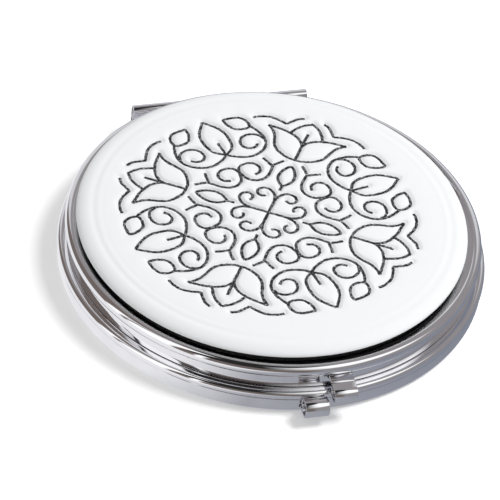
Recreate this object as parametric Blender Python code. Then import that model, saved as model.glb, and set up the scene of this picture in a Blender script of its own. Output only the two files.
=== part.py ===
"""Round pocket mirror with a leather-covered lid, built as separate pieces.

Metres, +Z up. The origin is on the case's own axis, at its flat underside. The hinge is at +Y and
the thumb catch at -Y, and the case is shown closed. Sections are written as (distance, height).
"""
import math

import bmesh
import bpy
from mathutils import Matrix, Vector

# Leather pad, which the case is sized round
PAD_RADIUS = 0.0290
PAD_CLEARANCE = 0.0006        # between the pad and the wall of its recess
PAD_SHIFT = 0.0004            # the pad is glued this far to the left of the case's axis
PAD_TUCK = 0.0003             # how far the foot of the leather's side is drawn in
PAD_SIDE = 0.0002             # height of that side
PAD_CROWN = 0.0013            # rise of the crown above it
PAD_DOME = 0.0003             # how much higher the middle of the crown is than its shoulder
PAD_SHOULDER = 0.0027         # width of the round shoulder
SHOULDER_STEPS = 6
LEATHER = 0.0006
FOAM_CLEARANCE = 0.0003       # between the foam and the inside of the leather's side
BOARD = 0.0008
BOARD_SETBACK = 0.0005        # the board stops this far inside the leather's edge
TAPE = 0.00012                # sheet adhesive under the board
LAYER_GAP = 0.00008           # glue line between stacked layers

# Case shells
SHEET = 0.0005                # wall of both pressed shells
LID_LIP = 0.0003              # wall of the pad's recess out to the middle of the lid's top bead
LID_BEAD_SECTION = 0.0010     # section radius of that bead
LID_BEAD_REACH = 0.0005       # how far it stands out past the foot of the lid's band
LID_BAND_TAPER = 0.0002       # how much narrower the band is at its top
LID_BAND_HEIGHT = 0.00185     # lid's lower edge to its top bead
RECESS_DEPTH = 0.00065        # top of the bead down to the seat of the pad
RIM_STEP = 0.0012             # lid's band out to the side of the base
FOOT_FILLET = 0.0010          # round edge between underside and side
RIM_BEAD_SECTION = 0.00075    # section radius of the bead round the base's rim
RIM_BEAD_REACH = 0.0002       # how far that bead stands out past the side
RIM_CREASE = 0.0002           # step under the bead
RIM_WIDTH = 0.0021            # side of the base in to the mouth of its rim
SEAM_GAP = 0.0001             # between the closed lid and the rim it rests on
CASE_SIDES = 64               # flats round the case

# Mirrors
MIRROR_THICKNESS = 0.0015
MIRROR_BEVEL = 0.0003         # polished edge of the glass
MIRROR_PLAY = 0.0003          # between the glass and its ring
BACKING_SETBACK = 0.0012      # the foam bed stops this far inside the glass
BACKING_THICKNESS = 0.0005
RING_SHEET = 0.0004
RING_LIP = 0.0010             # how far the ring laps over the glass
RING_SINK = 0.00076           # rim of the base down to the face of its ring
RING_FLANGE = 0.0015          # how far its flange runs out past its skirt
RING_CLEARANCE = 0.0008       # between that flange and the inside of the lid

# Hinge
HINGE_LENGTH = 0.0273
PIN_SPACING = 0.0019          # lower pin to upper pin
PIN_RADIUS = 0.000375
PIN_PLAY = 0.00005            # between a pin and what turns on it
PIN_SINK = 0.0003             # each pin's end lies this far inside the link's end
BARREL_RADIUS = 0.0008
BARREL_CLEARANCE = 0.0004     # between the barrels and the side of the lid
WEB = 0.0004                  # back wall of the link
LEAF_FLANGE = 0.0004          # gap between a mirror ring's skirt and a leaf's upright flange
LEAF_CORNER = 0.00012         # between the corners of that flange and the inside of the lid
LEAF_CLEARANCE = 0.00035      # between a leaf's straight edge and the link
LID_EAR_LENGTH = 0.0030
BASE_EAR_LENGTH = 0.0044
EAR_GAP = 0.0002              # between an ear and the barrels beside it
EAR_LAND = 0.0003             # solid barrel left between a base ear's window and a lid ear's
SLOT_CLEARANCE = 0.0001       # round whatever passes through a wall
HINGE_CLEARANCE = 0.00025     # between the link and the pocket it stands in
POCKET_WALL = 0.0004          # flat wall and shelf behind and under the link
BARREL_SIDES = 16

# Thumb catch
TAB_SHEET = 0.00035
TAB_WIDTH = 0.0035
TAB_SPACING = 0.0007          # between the two rolled ends
TAB_CLEARANCE = 0.0001        # between a rolled end and the base's bead
LID_TAB_ROLL = 0.00115        # outer radius of the lid's rolled end
BASE_TAB_ROLL = 0.0014        # outer radius of the base's rolled end
LID_TAB_RISE = 0.0017         # lid's lower edge up to the top of its tab
BASE_TAB_RISE = 0.00125       # underside up to the bottom of the base's tab
LID_TAB_FLANGE = 0.0010       # gap between the mirror ring's skirt and the tab's upright end
TONGUE_RISE = 0.0012          # how far the base's spring tongue stands above the rim
TONGUE_CLEARANCE = 0.0002     # between the tongue and the mirror rings
ROLL_SIDES = 14
EAR_SWEEP = 285               # degrees that a hinge leaf's end is rolled through
TAB_SWEEP = 300               # degrees that a thumb tab's end is rolled through

OVERRUN = 0.002               # how far a cutter runs past what it cuts
MERGE = 1e-7
SMOOTH_ANGLE = math.radians(35)

# Radii that follow from the pad outwards
RECESS_RADIUS = PAD_RADIUS + PAD_CLEARANCE
LID_BEAD_RADIUS = RECESS_RADIUS + LID_LIP
LID_BAND_RADIUS = LID_BEAD_RADIUS + LID_BEAD_SECTION - LID_BEAD_REACH
LID_BAND_TOP_RADIUS = LID_BAND_RADIUS - LID_BAND_TAPER
LID_INSIDE = LID_BAND_TOP_RADIUS - SHEET
BASE_RADIUS = LID_BAND_RADIUS + RIM_STEP
RIM_MOUTH = BASE_RADIUS - RIM_WIDTH
RING_RADIUS = LID_INSIDE - RING_CLEARANCE
SKIRT_RADIUS = RING_RADIUS - RING_FLANGE
MIRROR_RADIUS = SKIRT_RADIUS - RING_SHEET - MIRROR_PLAY
TAB_REACH = BASE_RADIUS + RIM_BEAD_REACH + TAB_CLEARANCE
HINGE_OFFSET = LID_BAND_RADIUS + BARREL_CLEARANCE + BARREL_RADIUS

# Heights that follow from the stack in the base upwards
BASE_HEIGHT = SHEET + BACKING_THICKNESS + MIRROR_THICKNESS + 3 * LAYER_GAP + RING_SHEET + RING_SINK
SEAM = BASE_HEIGHT + SEAM_GAP
LID_BAND_TOP = SEAM + LID_BAND_HEIGHT
LID_BEAD_HEIGHT = LID_BAND_TOP + LID_BEAD_SECTION
PAD_SEAT = LID_BEAD_HEIGHT + LID_BEAD_SECTION - RECESS_DEPTH
BOARD_FOOT = PAD_SEAT + LAYER_GAP + TAPE + LAYER_GAP
PAD_FOOT = BOARD_FOOT + BOARD + LAYER_GAP
ROOF = PAD_SEAT - SHEET
PIN_MIDDLE = BASE_HEIGHT + SEAM_GAP / 2

# Middles of the beads and pins, and the leaves' sizes
LID_BEAD = Vector((LID_BEAD_RADIUS, 0, LID_BEAD_HEIGHT))
RIM_BEAD = Vector((BASE_RADIUS + RIM_BEAD_REACH - RIM_BEAD_SECTION, 0,
                   BASE_HEIGHT - RIM_BEAD_SECTION))
UPPER_PIN = Vector((0, HINGE_OFFSET, PIN_MIDDLE + PIN_SPACING / 2))
LOWER_PIN = Vector((0, HINGE_OFFSET, PIN_MIDDLE - PIN_SPACING / 2))
LEAF_SHEET = BARREL_RADIUS - PIN_RADIUS - PIN_PLAY
LEAF_SEAT = SKIRT_RADIUS + LEAF_FLANGE
LEAF_LENGTH = 2 * math.sqrt((LID_INSIDE - LEAF_CORNER) ** 2 - (LEAF_SEAT + LEAF_SHEET) ** 2)
LID_EAR_OFFSET = (BASE_EAR_LENGTH + LID_EAR_LENGTH) / 2 + 2 * EAR_GAP + EAR_LAND


def clear_scene():
    for thing in list(bpy.data.objects):
        bpy.data.objects.remove(thing, do_unlink=True)


def finish(name, colour, roughness, metallic):
    """A plain surface for one kind of piece."""
    material = bpy.data.materials.new(name)
    material.use_nodes = True
    shader = material.node_tree.nodes["Principled BSDF"]
    shader.inputs["Base Color"].default_value = (*colour, 1)
    shader.inputs["Roughness"].default_value = roughness
    shader.inputs["Metallic"].default_value = metallic
    return material


def hang(thing, pivot):
    """Hang an object from the empty on its joint's axis, where it stands."""
    if pivot is not None:
        thing.parent = pivot
        thing.matrix_parent_inverse = Matrix.Translation(-pivot.location)


def add_object(name, bm, material, pivot=None):
    bmesh.ops.remove_doubles(bm, verts=bm.verts, dist=MERGE)
    bmesh.ops.recalc_face_normals(bm, faces=bm.faces)
    mesh = bpy.data.meshes.new(name)
    bm.to_mesh(mesh)
    bm.free()
    mesh.materials.append(material)
    mesh.shade_smooth()
    mesh.set_sharp_from_angle(angle=SMOOTH_ANGLE)
    thing = bpy.data.objects.new(name, mesh)
    bpy.context.collection.objects.link(thing)
    hang(thing, pivot)
    return thing


def add_pivot(name, place):
    pivot = bpy.data.objects.new(name, None)
    pivot.location = place
    bpy.context.collection.objects.link(pivot)
    return pivot


def arc(centre, radius, start, end, steps):
    """Points of a section on an arc from start to end, in degrees."""
    points = []
    for i in range(steps + 1):
        turn = math.radians(start + (end - start) * i / steps)
        points.append((centre[0] + radius * math.cos(turn), centre[1] + radius * math.sin(turn)))
    return points


def angle_at(offset, radius):
    """Angle in degrees at which a circle stands at this offset from its centre."""
    return math.degrees(math.acos(max(-1, min(1, offset / radius))))


def turned(profile, ring=False):
    """Turn a section round the case's axis. A ring's section is closed."""
    bm = bmesh.new()
    verts = [bm.verts.new((distance, 0, height)) for distance, height in profile]
    pairs = list(zip(verts, verts[1:]))
    if ring:
        pairs.append((verts[-1], verts[0]))
    edges = [bm.edges.new(pair) for pair in pairs]
    bmesh.ops.spin(bm, geom=verts + edges, cent=(0, 0, 0), axis=(0, 0, 1),
                   angle=math.tau, steps=CASE_SIDES, use_merge=True)
    return bm


def grow(bm, points, way):
    """Fill an outline and extrude it."""
    face = bm.faces.new([bm.verts.new(point) for point in points])
    grown = bmesh.ops.extrude_face_region(bm, geom=[face])["geom"]
    moved = [v for v in grown if isinstance(v, bmesh.types.BMVert)]
    bmesh.ops.translate(bm, verts=moved, vec=way)
    return bm


def extruded(outline, low, high):
    """Run a section along X from low to high."""
    return grow(bmesh.new(), [(low, y, z) for y, z in outline], (high - low, 0, 0))


def rod(place, radius, half_length):
    """A round bar along X."""
    bm = bmesh.new()
    lying = Matrix.Translation(place) @ Matrix.Rotation(math.pi / 2, 4, 'Y')
    bmesh.ops.create_cone(bm, cap_ends=True, segments=BARREL_SIDES, radius1=radius,
                          radius2=radius, depth=2 * half_length, matrix=lying)
    return bm


def combine(thing, name, bm, operation='DIFFERENCE'):
    """Cut bm out of thing, or join it on, and keep bm as a hidden guide."""
    mesh = bpy.data.meshes.new(name)
    bmesh.ops.recalc_face_normals(bm, faces=bm.faces)
    bm.to_mesh(mesh)
    bm.free()
    guide = bpy.data.objects.new(name, mesh)
    guide.hide_render = True
    guide.display_type = 'WIRE'
    bpy.context.collection.objects.link(guide)
    hang(guide, thing.parent)
    step = thing.modifiers.new(name, 'BOOLEAN')
    step.operation = operation
    step.solver = 'EXACT'
    step.object = guide


def cut_box(thing, name, x_span, y_span, z_span):
    y0, y1 = y_span
    z0, z1 = z_span
    combine(thing, name, extruded([(y0, z0), (y1, z0), (y1, z1), (y0, z1)], *x_span))


def base_shell(chrome):
    """The lower pan: rounded foot, upright side, and a beaded rim that turns inwards."""
    crease = RIM_BEAD.z - math.sqrt(RIM_BEAD_SECTION ** 2 - (BASE_RADIUS - RIM_BEAD.x) ** 2)
    inner = BASE_RADIUS - SHEET
    profile = [(0, 0)]
    profile += arc((BASE_RADIUS - FOOT_FILLET, FOOT_FILLET), FOOT_FILLET, -90, 0, 5)
    profile += [(BASE_RADIUS, crease - RIM_CREASE)]
    start = -angle_at(BASE_RADIUS - RIM_CREASE - RIM_BEAD.x, RIM_BEAD_SECTION)
    profile += arc((RIM_BEAD.x, RIM_BEAD.z), RIM_BEAD_SECTION, start, 90, 8)
    profile += [(RIM_MOUTH, BASE_HEIGHT), (RIM_MOUTH, BASE_HEIGHT - SHEET),
                (inner - RIM_CREASE, BASE_HEIGHT - SHEET), (inner - RIM_CREASE, crease),
                (inner, crease - RIM_CREASE - SHEET), (inner, FOOT_FILLET),
                (BASE_RADIUS - FOOT_FILLET, SHEET), (0, SHEET)]
    shell = add_object("base_shell", turned(profile), chrome)
    hinge_pocket(shell)
    low, high = base_tab_span()
    low, high = low - SLOT_CLEARANCE, high + SLOT_CLEARANCE
    cut_box(shell, "base_tab_slot", (low, high), (-BASE_RADIUS - OVERRUN, -RING_RADIUS),
            (BASE_TAB_RISE - SLOT_CLEARANCE, BASE_TAB_RISE + TAB_SHEET + SLOT_CLEARANCE))
    tongue = RING_RADIUS + TONGUE_CLEARANCE + TAB_SHEET + SLOT_CLEARANCE
    cut_box(shell, "base_tongue_slot", (low, high), (-tongue, -RING_RADIUS),
            (BASE_HEIGHT - SHEET - SLOT_CLEARANCE, BASE_HEIGHT + OVERRUN))


def hinge_pocket(shell):
    """A flat-backed pocket across the rim, which the lower half of the link stands in."""
    back = HINGE_OFFSET - BARREL_RADIUS - HINGE_CLEARANCE
    shelf = LOWER_PIN.z - BARREL_RADIUS - HINGE_CLEARANCE
    round_radius = BASE_RADIUS - SHEET / 2
    chord = back - POCKET_WALL
    swing = math.acos(chord / round_radius)
    outline = []
    for i in range(CASE_SIDES // 4 + 1):
        turn = swing - 2 * swing * i / (CASE_SIDES // 4)
        outline.append((round_radius * math.sin(turn), round_radius * math.cos(turn),
                        shelf - POCKET_WALL))
    rise = BASE_HEIGHT - SHEET / 2 - shelf + POCKET_WALL
    combine(shell, "base_pocket_block", grow(bmesh.new(), outline, (0, 0, rise)), 'UNION')
    half = HINGE_LENGTH / 2 + HINGE_CLEARANCE
    cut_box(shell, "base_hinge_notch", (-half, half), (back, HINGE_OFFSET + OVERRUN),
            (shelf, BASE_HEIGHT + OVERRUN))
    leaf = LOWER_PIN.z - BARREL_RADIUS
    half = LEAF_LENGTH / 2 + SLOT_CLEARANCE
    cut_box(shell, "base_leaf_slot", (-half, half), (LEAF_SEAT - OVERRUN, HINGE_OFFSET + OVERRUN),
            (leaf - SLOT_CLEARANCE, leaf + LEAF_SHEET + SLOT_CLEARANCE))


def lid_shell(chrome, pivot):
    """The lid: plain band, round top bead, and a recess that the leather pad lies in."""
    start = -angle_at(LID_BAND_TOP_RADIUS - LID_BEAD.x, LID_BEAD_SECTION)
    end = angle_at(RECESS_RADIUS - LID_BEAD.x, LID_BEAD_SECTION)
    bead = arc((LID_BEAD.x, LID_BEAD.z), LID_BEAD_SECTION, end, start, 10)
    profile = [(0, PAD_SEAT), (RECESS_RADIUS, PAD_SEAT)] + bead
    profile += [(LID_BAND_TOP_RADIUS, LID_BAND_TOP), (LID_BAND_RADIUS, SEAM),
                (LID_BAND_RADIUS - SHEET, SEAM), (LID_BAND_TOP_RADIUS - SHEET, LID_BAND_TOP),
                (LID_BAND_TOP_RADIUS - SHEET, ROOF), (0, ROOF)]
    shell = add_object("lid_shell", turned(profile), chrome, pivot)
    top = UPPER_PIN.z + BARREL_RADIUS
    half = LEAF_LENGTH / 2 + SLOT_CLEARANCE
    cut_box(shell, "lid_leaf_slot", (-half, half), (LEAF_SEAT - OVERRUN, HINGE_OFFSET + OVERRUN),
            (top - LEAF_SHEET - SLOT_CLEARANCE, top + SLOT_CLEARANCE))
    low, high = lid_tab_span()
    top = SEAM + LID_TAB_RISE
    cut_box(shell, "lid_tab_slot", (low - SLOT_CLEARANCE, high + SLOT_CLEARANCE),
            (-LID_BAND_RADIUS - OVERRUN, -SKIRT_RADIUS),
            (top - TAB_SHEET - SLOT_CLEARANCE, top + SLOT_CLEARANCE))


def crown(inset, drop):
    """Points of the crown, inset from the leather's side and dropped from its top."""
    middle = PAD_RADIUS - PAD_SHOULDER
    points = []
    for i in range(SHOULDER_STEPS + 1):
        turn = math.pi / 2 * i / SHOULDER_STEPS
        points.append((middle + (PAD_SHOULDER - inset) * math.cos(turn),
                       PAD_FOOT + PAD_SIDE + (PAD_CROWN - drop) * math.sin(turn)))
    return points + [(0, PAD_FOOT + PAD_SIDE + PAD_CROWN - drop + PAD_DOME)]


def add_layer(name, bm, material, pivot):
    """One layer of the pad, which is glued a little off the case's axis."""
    bmesh.ops.translate(bm, verts=bm.verts, vec=(-PAD_SHIFT, 0, 0))
    add_object(name, bm, material, pivot)


def leather_cover(leather, pivot):
    """The leather skin: a shallow cap with a soft crown, a round shoulder and drawn-in sides."""
    foot = PAD_RADIUS - PAD_TUCK
    inside = list(reversed(crown(LEATHER, LEATHER)))
    bm = turned([(foot, PAD_FOOT)] + crown(0, 0) + inside + [(foot - LEATHER, PAD_FOOT)])
    rims = [edge for edge in bm.edges if edge.is_boundary]
    bmesh.ops.bridge_loops(bm, edges=rims)
    add_layer("leather_cover", bm, leather, pivot)


def pad_core(foam, board, tape, pivot):
    """What lies under the leather: shaped foam, a stiff dark board and an adhesive sheet."""
    radius = PAD_RADIUS - BOARD_SETBACK
    tape_foot = PAD_SEAT + LAYER_GAP
    add_layer("pad_adhesive", disc(radius, tape_foot, tape_foot + TAPE), tape, pivot)
    add_layer("pad_board", disc(radius, BOARD_FOOT, BOARD_FOOT + BOARD), board, pivot)
    top = crown(LEATHER + FOAM_CLEARANCE, LEATHER + LAYER_GAP)
    add_layer("pad_foam", turned([(0, PAD_FOOT), (top[0][0] - PAD_TUCK, PAD_FOOT)] + top),
              foam, pivot)


def disc(radius, low, high, top_bevel=0, low_bevel=0):
    """A flat round piece, with a bevel on one of its edges if it has one."""
    profile = [(0, low), (radius - low_bevel, low)]
    if low_bevel:
        profile.append((radius, low + low_bevel))
    profile.append((radius, high - top_bevel))
    if top_bevel:
        profile.append((radius - top_bevel, high))
    profile.append((0, high))
    return turned(profile)


def mirror_set(half, seat, way, glass, foam, chrome, pivot=None):
    """Foam bed, glass and retaining ring, stacked away from the seat of one half of the case."""
    def span(start, depth):
        ends = (seat + way * start, seat + way * (start + depth))
        return min(ends), max(ends)

    reach = LAYER_GAP
    bed = disc(MIRROR_RADIUS - BACKING_SETBACK, *span(reach, BACKING_THICKNESS))
    add_object(f"{half}_mirror_backing", bed, foam, pivot)
    reach += BACKING_THICKNESS + LAYER_GAP
    bevels = (MIRROR_BEVEL, 0) if way > 0 else (0, MIRROR_BEVEL)
    plate = disc(MIRROR_RADIUS, *span(reach, MIRROR_THICKNESS), *bevels)
    add_object(f"{half}_mirror", plate, glass, pivot)
    reach += MIRROR_THICKNESS + LAYER_GAP
    skirt = MIRROR_RADIUS + MIRROR_PLAY
    face = seat + way * (reach + RING_SHEET)
    under = seat + way * reach
    foot = seat + way * LAYER_GAP
    profile = [(MIRROR_RADIUS - RING_LIP, under), (MIRROR_RADIUS - RING_LIP, face),
               (RING_RADIUS, face), (RING_RADIUS, under), (SKIRT_RADIUS, under),
               (SKIRT_RADIUS, foot), (skirt, foot), (skirt, under)]
    add_object(f"{half}_mirror_ring", turned(profile, ring=True), chrome, pivot)


def rolled(centre, radius, sheet, way, side, sweep):
    """Outer and inner line of a strip's rolled end, from its flat plate's point of view.

    The plate leaves the roll along Y, the way that way gives, and lies along the top of the roll
    where side is 1, or along its bottom where side is -1.
    """
    start = 90 * side
    end = start + way * side * sweep
    outer = arc(centre, radius, end, start, ROLL_SIDES)
    inner = arc(centre, radius - sheet, start, end, ROLL_SIDES)
    return outer, inner


def leaf_outline(pin, side, flange_end):
    """Section of a hinge leaf: rolled round its pin, flat plate, and an upright inner flange."""
    face = pin.z + side * BARREL_RADIUS
    back = face - side * LEAF_SHEET
    outer, inner = rolled((pin.y, pin.z), BARREL_RADIUS, LEAF_SHEET, -1, side, EAR_SWEEP)
    flange = LEAF_SEAT + LEAF_SHEET
    if (flange_end - face) * side > 0:
        return outer + [(flange, face), (flange, flange_end), (LEAF_SEAT, flange_end),
                        (LEAF_SEAT, back)] + inner
    return outer + [(LEAF_SEAT, face), (LEAF_SEAT, flange_end), (flange, flange_end),
                    (flange, back)] + inner


def trim_leaf(leaf, name, ears):
    """Cut the rolled edge away from a leaf everywhere except at its ears."""
    edge = HINGE_OFFSET - BARREL_RADIUS - LEAF_CLEARANCE
    end = LEAF_LENGTH / 2 + OVERRUN
    start = -end
    spans = []
    for low, high in ears:
        spans.append((start, low))
        start = high
    spans.append((start, end))
    for i, span in enumerate(spans):
        cut_box(leaf, f"{name}_trim_{i + 1}", span, (edge, HINGE_OFFSET + OVERRUN),
                (LOWER_PIN.z - BARREL_RADIUS - OVERRUN, UPPER_PIN.z + BARREL_RADIUS + OVERRUN))


def ear_spans():
    """Spans along X of the lid's two ears, and of the base's one."""
    half = LID_EAR_LENGTH / 2
    lid = [(-LID_EAR_OFFSET - half, -LID_EAR_OFFSET + half),
           (LID_EAR_OFFSET - half, LID_EAR_OFFSET + half)]
    return lid, [(-BASE_EAR_LENGTH / 2, BASE_EAR_LENGTH / 2)]


def hinge_leaves(chrome, lid_pivot):
    lid_ears, base_ears = ear_spans()
    half = LEAF_LENGTH / 2
    outline = leaf_outline(LOWER_PIN, -1, SHEET + LAYER_GAP)
    leaf = add_object("base_hinge_leaf", extruded(outline, -half, half), chrome)
    trim_leaf(leaf, "base_leaf", base_ears)
    outline = leaf_outline(UPPER_PIN, 1, ROOF - LAYER_GAP)
    leaf = add_object("lid_hinge_leaf", extruded(outline, -half, half), chrome, lid_pivot)
    trim_leaf(leaf, "lid_leaf", lid_ears)


def hinge_link(chrome, steel, link_pivot):
    """The link between the two leaves, with a pin through each of its barrels."""
    web_angle = angle_at(BARREL_RADIUS - WEB, BARREL_RADIUS)
    steps = BARREL_SIDES - BARREL_SIDES // 6
    upper = arc((HINGE_OFFSET, UPPER_PIN.z), BARREL_RADIUS, 0, 360 - web_angle, steps)
    lower = arc((HINGE_OFFSET, LOWER_PIN.z), BARREL_RADIUS, web_angle, 360, steps)
    half = HINGE_LENGTH / 2
    link = add_object("hinge_link", extruded(upper + lower, -half, half), chrome, link_pivot)
    lid_ears, base_ears = ear_spans()
    windows = [(span, (PIN_MIDDLE, UPPER_PIN.z + OVERRUN)) for span in lid_ears]
    windows += [(span, (LOWER_PIN.z - OVERRUN, PIN_MIDDLE)) for span in base_ears]
    for i, ((low, high), heights) in enumerate(windows):
        cut_box(link, f"link_window_{i + 1}", (low - EAR_GAP, high + EAR_GAP),
                (HINGE_OFFSET - OVERRUN, HINGE_OFFSET + OVERRUN), heights)
    for name, pin in (("upper", UPPER_PIN), ("lower", LOWER_PIN)):
        combine(link, f"link_{name}_bore", rod(pin, PIN_RADIUS + PIN_PLAY, half + OVERRUN))
        add_object(f"hinge_pin_{name}", rod(pin, PIN_RADIUS, half - PIN_SINK), steel, link_pivot)


def lid_tab_span():
    return TAB_SPACING / 2, TAB_SPACING / 2 + TAB_WIDTH


def base_tab_span():
    return -TAB_SPACING / 2 - TAB_WIDTH, -TAB_SPACING / 2


def catch_tabs(chrome, lid_pivot):
    """The two thumb tabs: each is a strip with a rolled end that stands out of its own half."""
    face = SEAM + LID_TAB_RISE
    centre = (-TAB_REACH - LID_TAB_ROLL, face - LID_TAB_ROLL)
    outer, inner = rolled(centre, LID_TAB_ROLL, TAB_SHEET, 1, 1, TAB_SWEEP)
    seat = -SKIRT_RADIUS - LID_TAB_FLANGE
    top = ROOF - LAYER_GAP
    outline = outer + [(seat - TAB_SHEET, face), (seat - TAB_SHEET, top), (seat, top),
                       (seat, face - TAB_SHEET)]
    add_object("lid_catch_tab", extruded(outline + inner, *lid_tab_span()), chrome, lid_pivot)

    face = BASE_TAB_RISE
    centre = (-TAB_REACH - BASE_TAB_ROLL, face + BASE_TAB_ROLL)
    outer, inner = rolled(centre, BASE_TAB_ROLL, TAB_SHEET, 1, -1, TAB_SWEEP)
    seat = -RING_RADIUS - TONGUE_CLEARANCE
    top = BASE_HEIGHT + TONGUE_RISE
    outline = outer + [(seat, face), (seat, top), (seat - TAB_SHEET, top),
                       (seat - TAB_SHEET, face + TAB_SHEET)]
    add_object("base_catch_tab", extruded(outline + inner, *base_tab_span()), chrome)


def main():
    clear_scene()
    chrome = finish("chrome", (0.80, 0.81, 0.83), 0.06, 1.0)
    steel = finish("pin_steel", (0.45, 0.45, 0.46), 0.3, 1.0)
    leather = finish("leather", (0.88, 0.89, 0.90), 0.45, 0.0)
    foam = finish("foam", (0.82, 0.82, 0.80), 0.95, 0.0)
    board = finish("board", (0.012, 0.012, 0.013), 0.7, 0.0)
    tape = finish("tape", (0.90, 0.88, 0.78), 0.6, 0.0)
    glass = finish("mirror", (0.92, 0.94, 0.95), 0.01, 1.0)

    link_pivot = add_pivot("link_pivot", LOWER_PIN)
    lid_pivot = add_pivot("lid_pivot", UPPER_PIN)

    base_shell(chrome)
    mirror_set("base", SHEET, 1, glass, foam, chrome)
    lid_shell(chrome, lid_pivot)
    mirror_set("lid", ROOF, -1, glass, foam, chrome, lid_pivot)
    leather_cover(leather, lid_pivot)
    pad_core(foam, board, tape, lid_pivot)
    hinge_leaves(chrome, lid_pivot)
    hinge_link(chrome, steel, link_pivot)
    catch_tabs(chrome, lid_pivot)


main()
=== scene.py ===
"""Looks of a round pocket mirror: plated case, two glasses, link hinge, thumb catch, leather pad.

Metres, +Z up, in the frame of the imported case. The origin lies on the case's axis at its underside,
the hinge is at +Y and the thumb catch at -Y. Sections are written as (distance, height).
"""

import math
from types import SimpleNamespace

import bmesh
import bpy
import numpy as np
from bpy.props import FloatProperty, FloatVectorProperty, IntProperty, PointerProperty
from bpy.types import Operator, Panel, PropertyGroup
from mathutils import Matrix, Vector
from mathutils.kdtree import KDTree
from mathutils.noise import noise as wander


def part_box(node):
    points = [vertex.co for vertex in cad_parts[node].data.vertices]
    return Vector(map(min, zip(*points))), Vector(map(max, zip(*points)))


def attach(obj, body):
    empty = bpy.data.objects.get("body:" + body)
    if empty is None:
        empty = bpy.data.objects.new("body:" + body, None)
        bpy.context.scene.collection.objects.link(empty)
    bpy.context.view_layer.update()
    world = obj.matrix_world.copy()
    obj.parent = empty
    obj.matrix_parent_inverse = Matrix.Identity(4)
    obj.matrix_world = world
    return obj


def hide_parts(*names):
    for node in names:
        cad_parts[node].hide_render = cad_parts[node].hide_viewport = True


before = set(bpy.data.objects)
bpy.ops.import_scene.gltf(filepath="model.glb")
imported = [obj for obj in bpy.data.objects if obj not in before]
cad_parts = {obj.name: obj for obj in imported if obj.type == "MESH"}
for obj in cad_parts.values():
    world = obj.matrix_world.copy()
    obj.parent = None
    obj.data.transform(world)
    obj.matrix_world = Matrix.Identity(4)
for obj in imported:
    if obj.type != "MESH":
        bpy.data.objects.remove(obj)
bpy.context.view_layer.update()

bl_info = {
    "name": "Leather Pocket Mirror",
    "version": (1, 0, 0),
    "blender": (4, 5, 0),
    "location": "View3D > Sidebar > Pocket Mirror",
    "description": "Builds the fine surfaces of a round pocket mirror round its packed case",
    "category": "Object",
}

MERGE = 1e-7
SMOOTH_ANGLE = math.radians(35)
OVERRUN = 0.002               # how far a cutter runs past what it cuts
BASE_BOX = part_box("base_shell")
LID_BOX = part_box("lid_shell")
PAD_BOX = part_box("leather_cover")

EAR_SWEEP = 285               # degrees that a hinge leaf's end is rolled through
TAB_SWEEP = 300               # degrees that a thumb tab's end is rolled through
FOOT_STEPS = 14               # facets of the round edge under the base
RIM_BEAD_STEPS = 26           # facets across the bead of the base's rim
LID_BEAD_STEPS = 32           # facets across the lid's top bead
ROLL_STEPS = 44               # facets round a rolled end
BARREL_STEPS = 36             # facets round a barrel of the link
SHOULDER_STEPS = 16           # facets down the leather's shoulder
WAVE_HEIGHT = 0.0000015       # waves in the pressed plate
GRAIN_HEIGHT = 0.00003        # grain of leather and foil
BOARD_HEIGHT = 0.00012        # torn fibres of the board's edge
CELL_HEIGHT = 0.0001          # open cells of the foam

FRAME_PX = 500                # side of the square picture
PAD_CENTRE_PX = (274.90, 221.68)    # where the case's axis at the aim height lies in it
SENSOR = 36.0                 # millimetres across the camera's sensor

BROWN = (0.15, 0.125, 0.115)
BLACK = (0.02, 0.02, 0.02)
WHITE = (1.0, 1.0, 1.0)
GREY = (0.26, 0.245, 0.25)
PALE = (0.60, 0.60, 0.62)
# The studio once round from -X: its walls, and what hangs above them
LOW_RING = (
    (0.005, BROWN), (0.009, WHITE), (0.075, WHITE), (0.082, BROWN), (0.109, BROWN),
    (0.113, WHITE), (0.123, WHITE), (0.127, BROWN), (0.265, BROWN), (0.290, GREY),
    (0.580, GREY), (0.620, PALE), (0.800, PALE), (0.820, BROWN), (0.966, BROWN),
    (0.970, WHITE), (0.992, WHITE), (0.996, BROWN),
)
HIGH_RING = (
    (0.005, BLACK), (0.009, WHITE), (0.075, WHITE), (0.082, BLACK), (0.210, BLACK),
    (0.330, WHITE), (0.460, WHITE), (0.500, GREY), (0.835, GREY), (0.850, BROWN),
    (0.960, BROWN), (0.970, PALE), (0.992, PALE), (0.996, BLACK),
)
# Sine of the elevation where the upper ring starts and where the dark ceiling does
HIGH_FROM, HIGH_FULL = 0.57, 0.65
CEILING_FROM, CEILING_FULL = 0.95, 0.98

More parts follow.
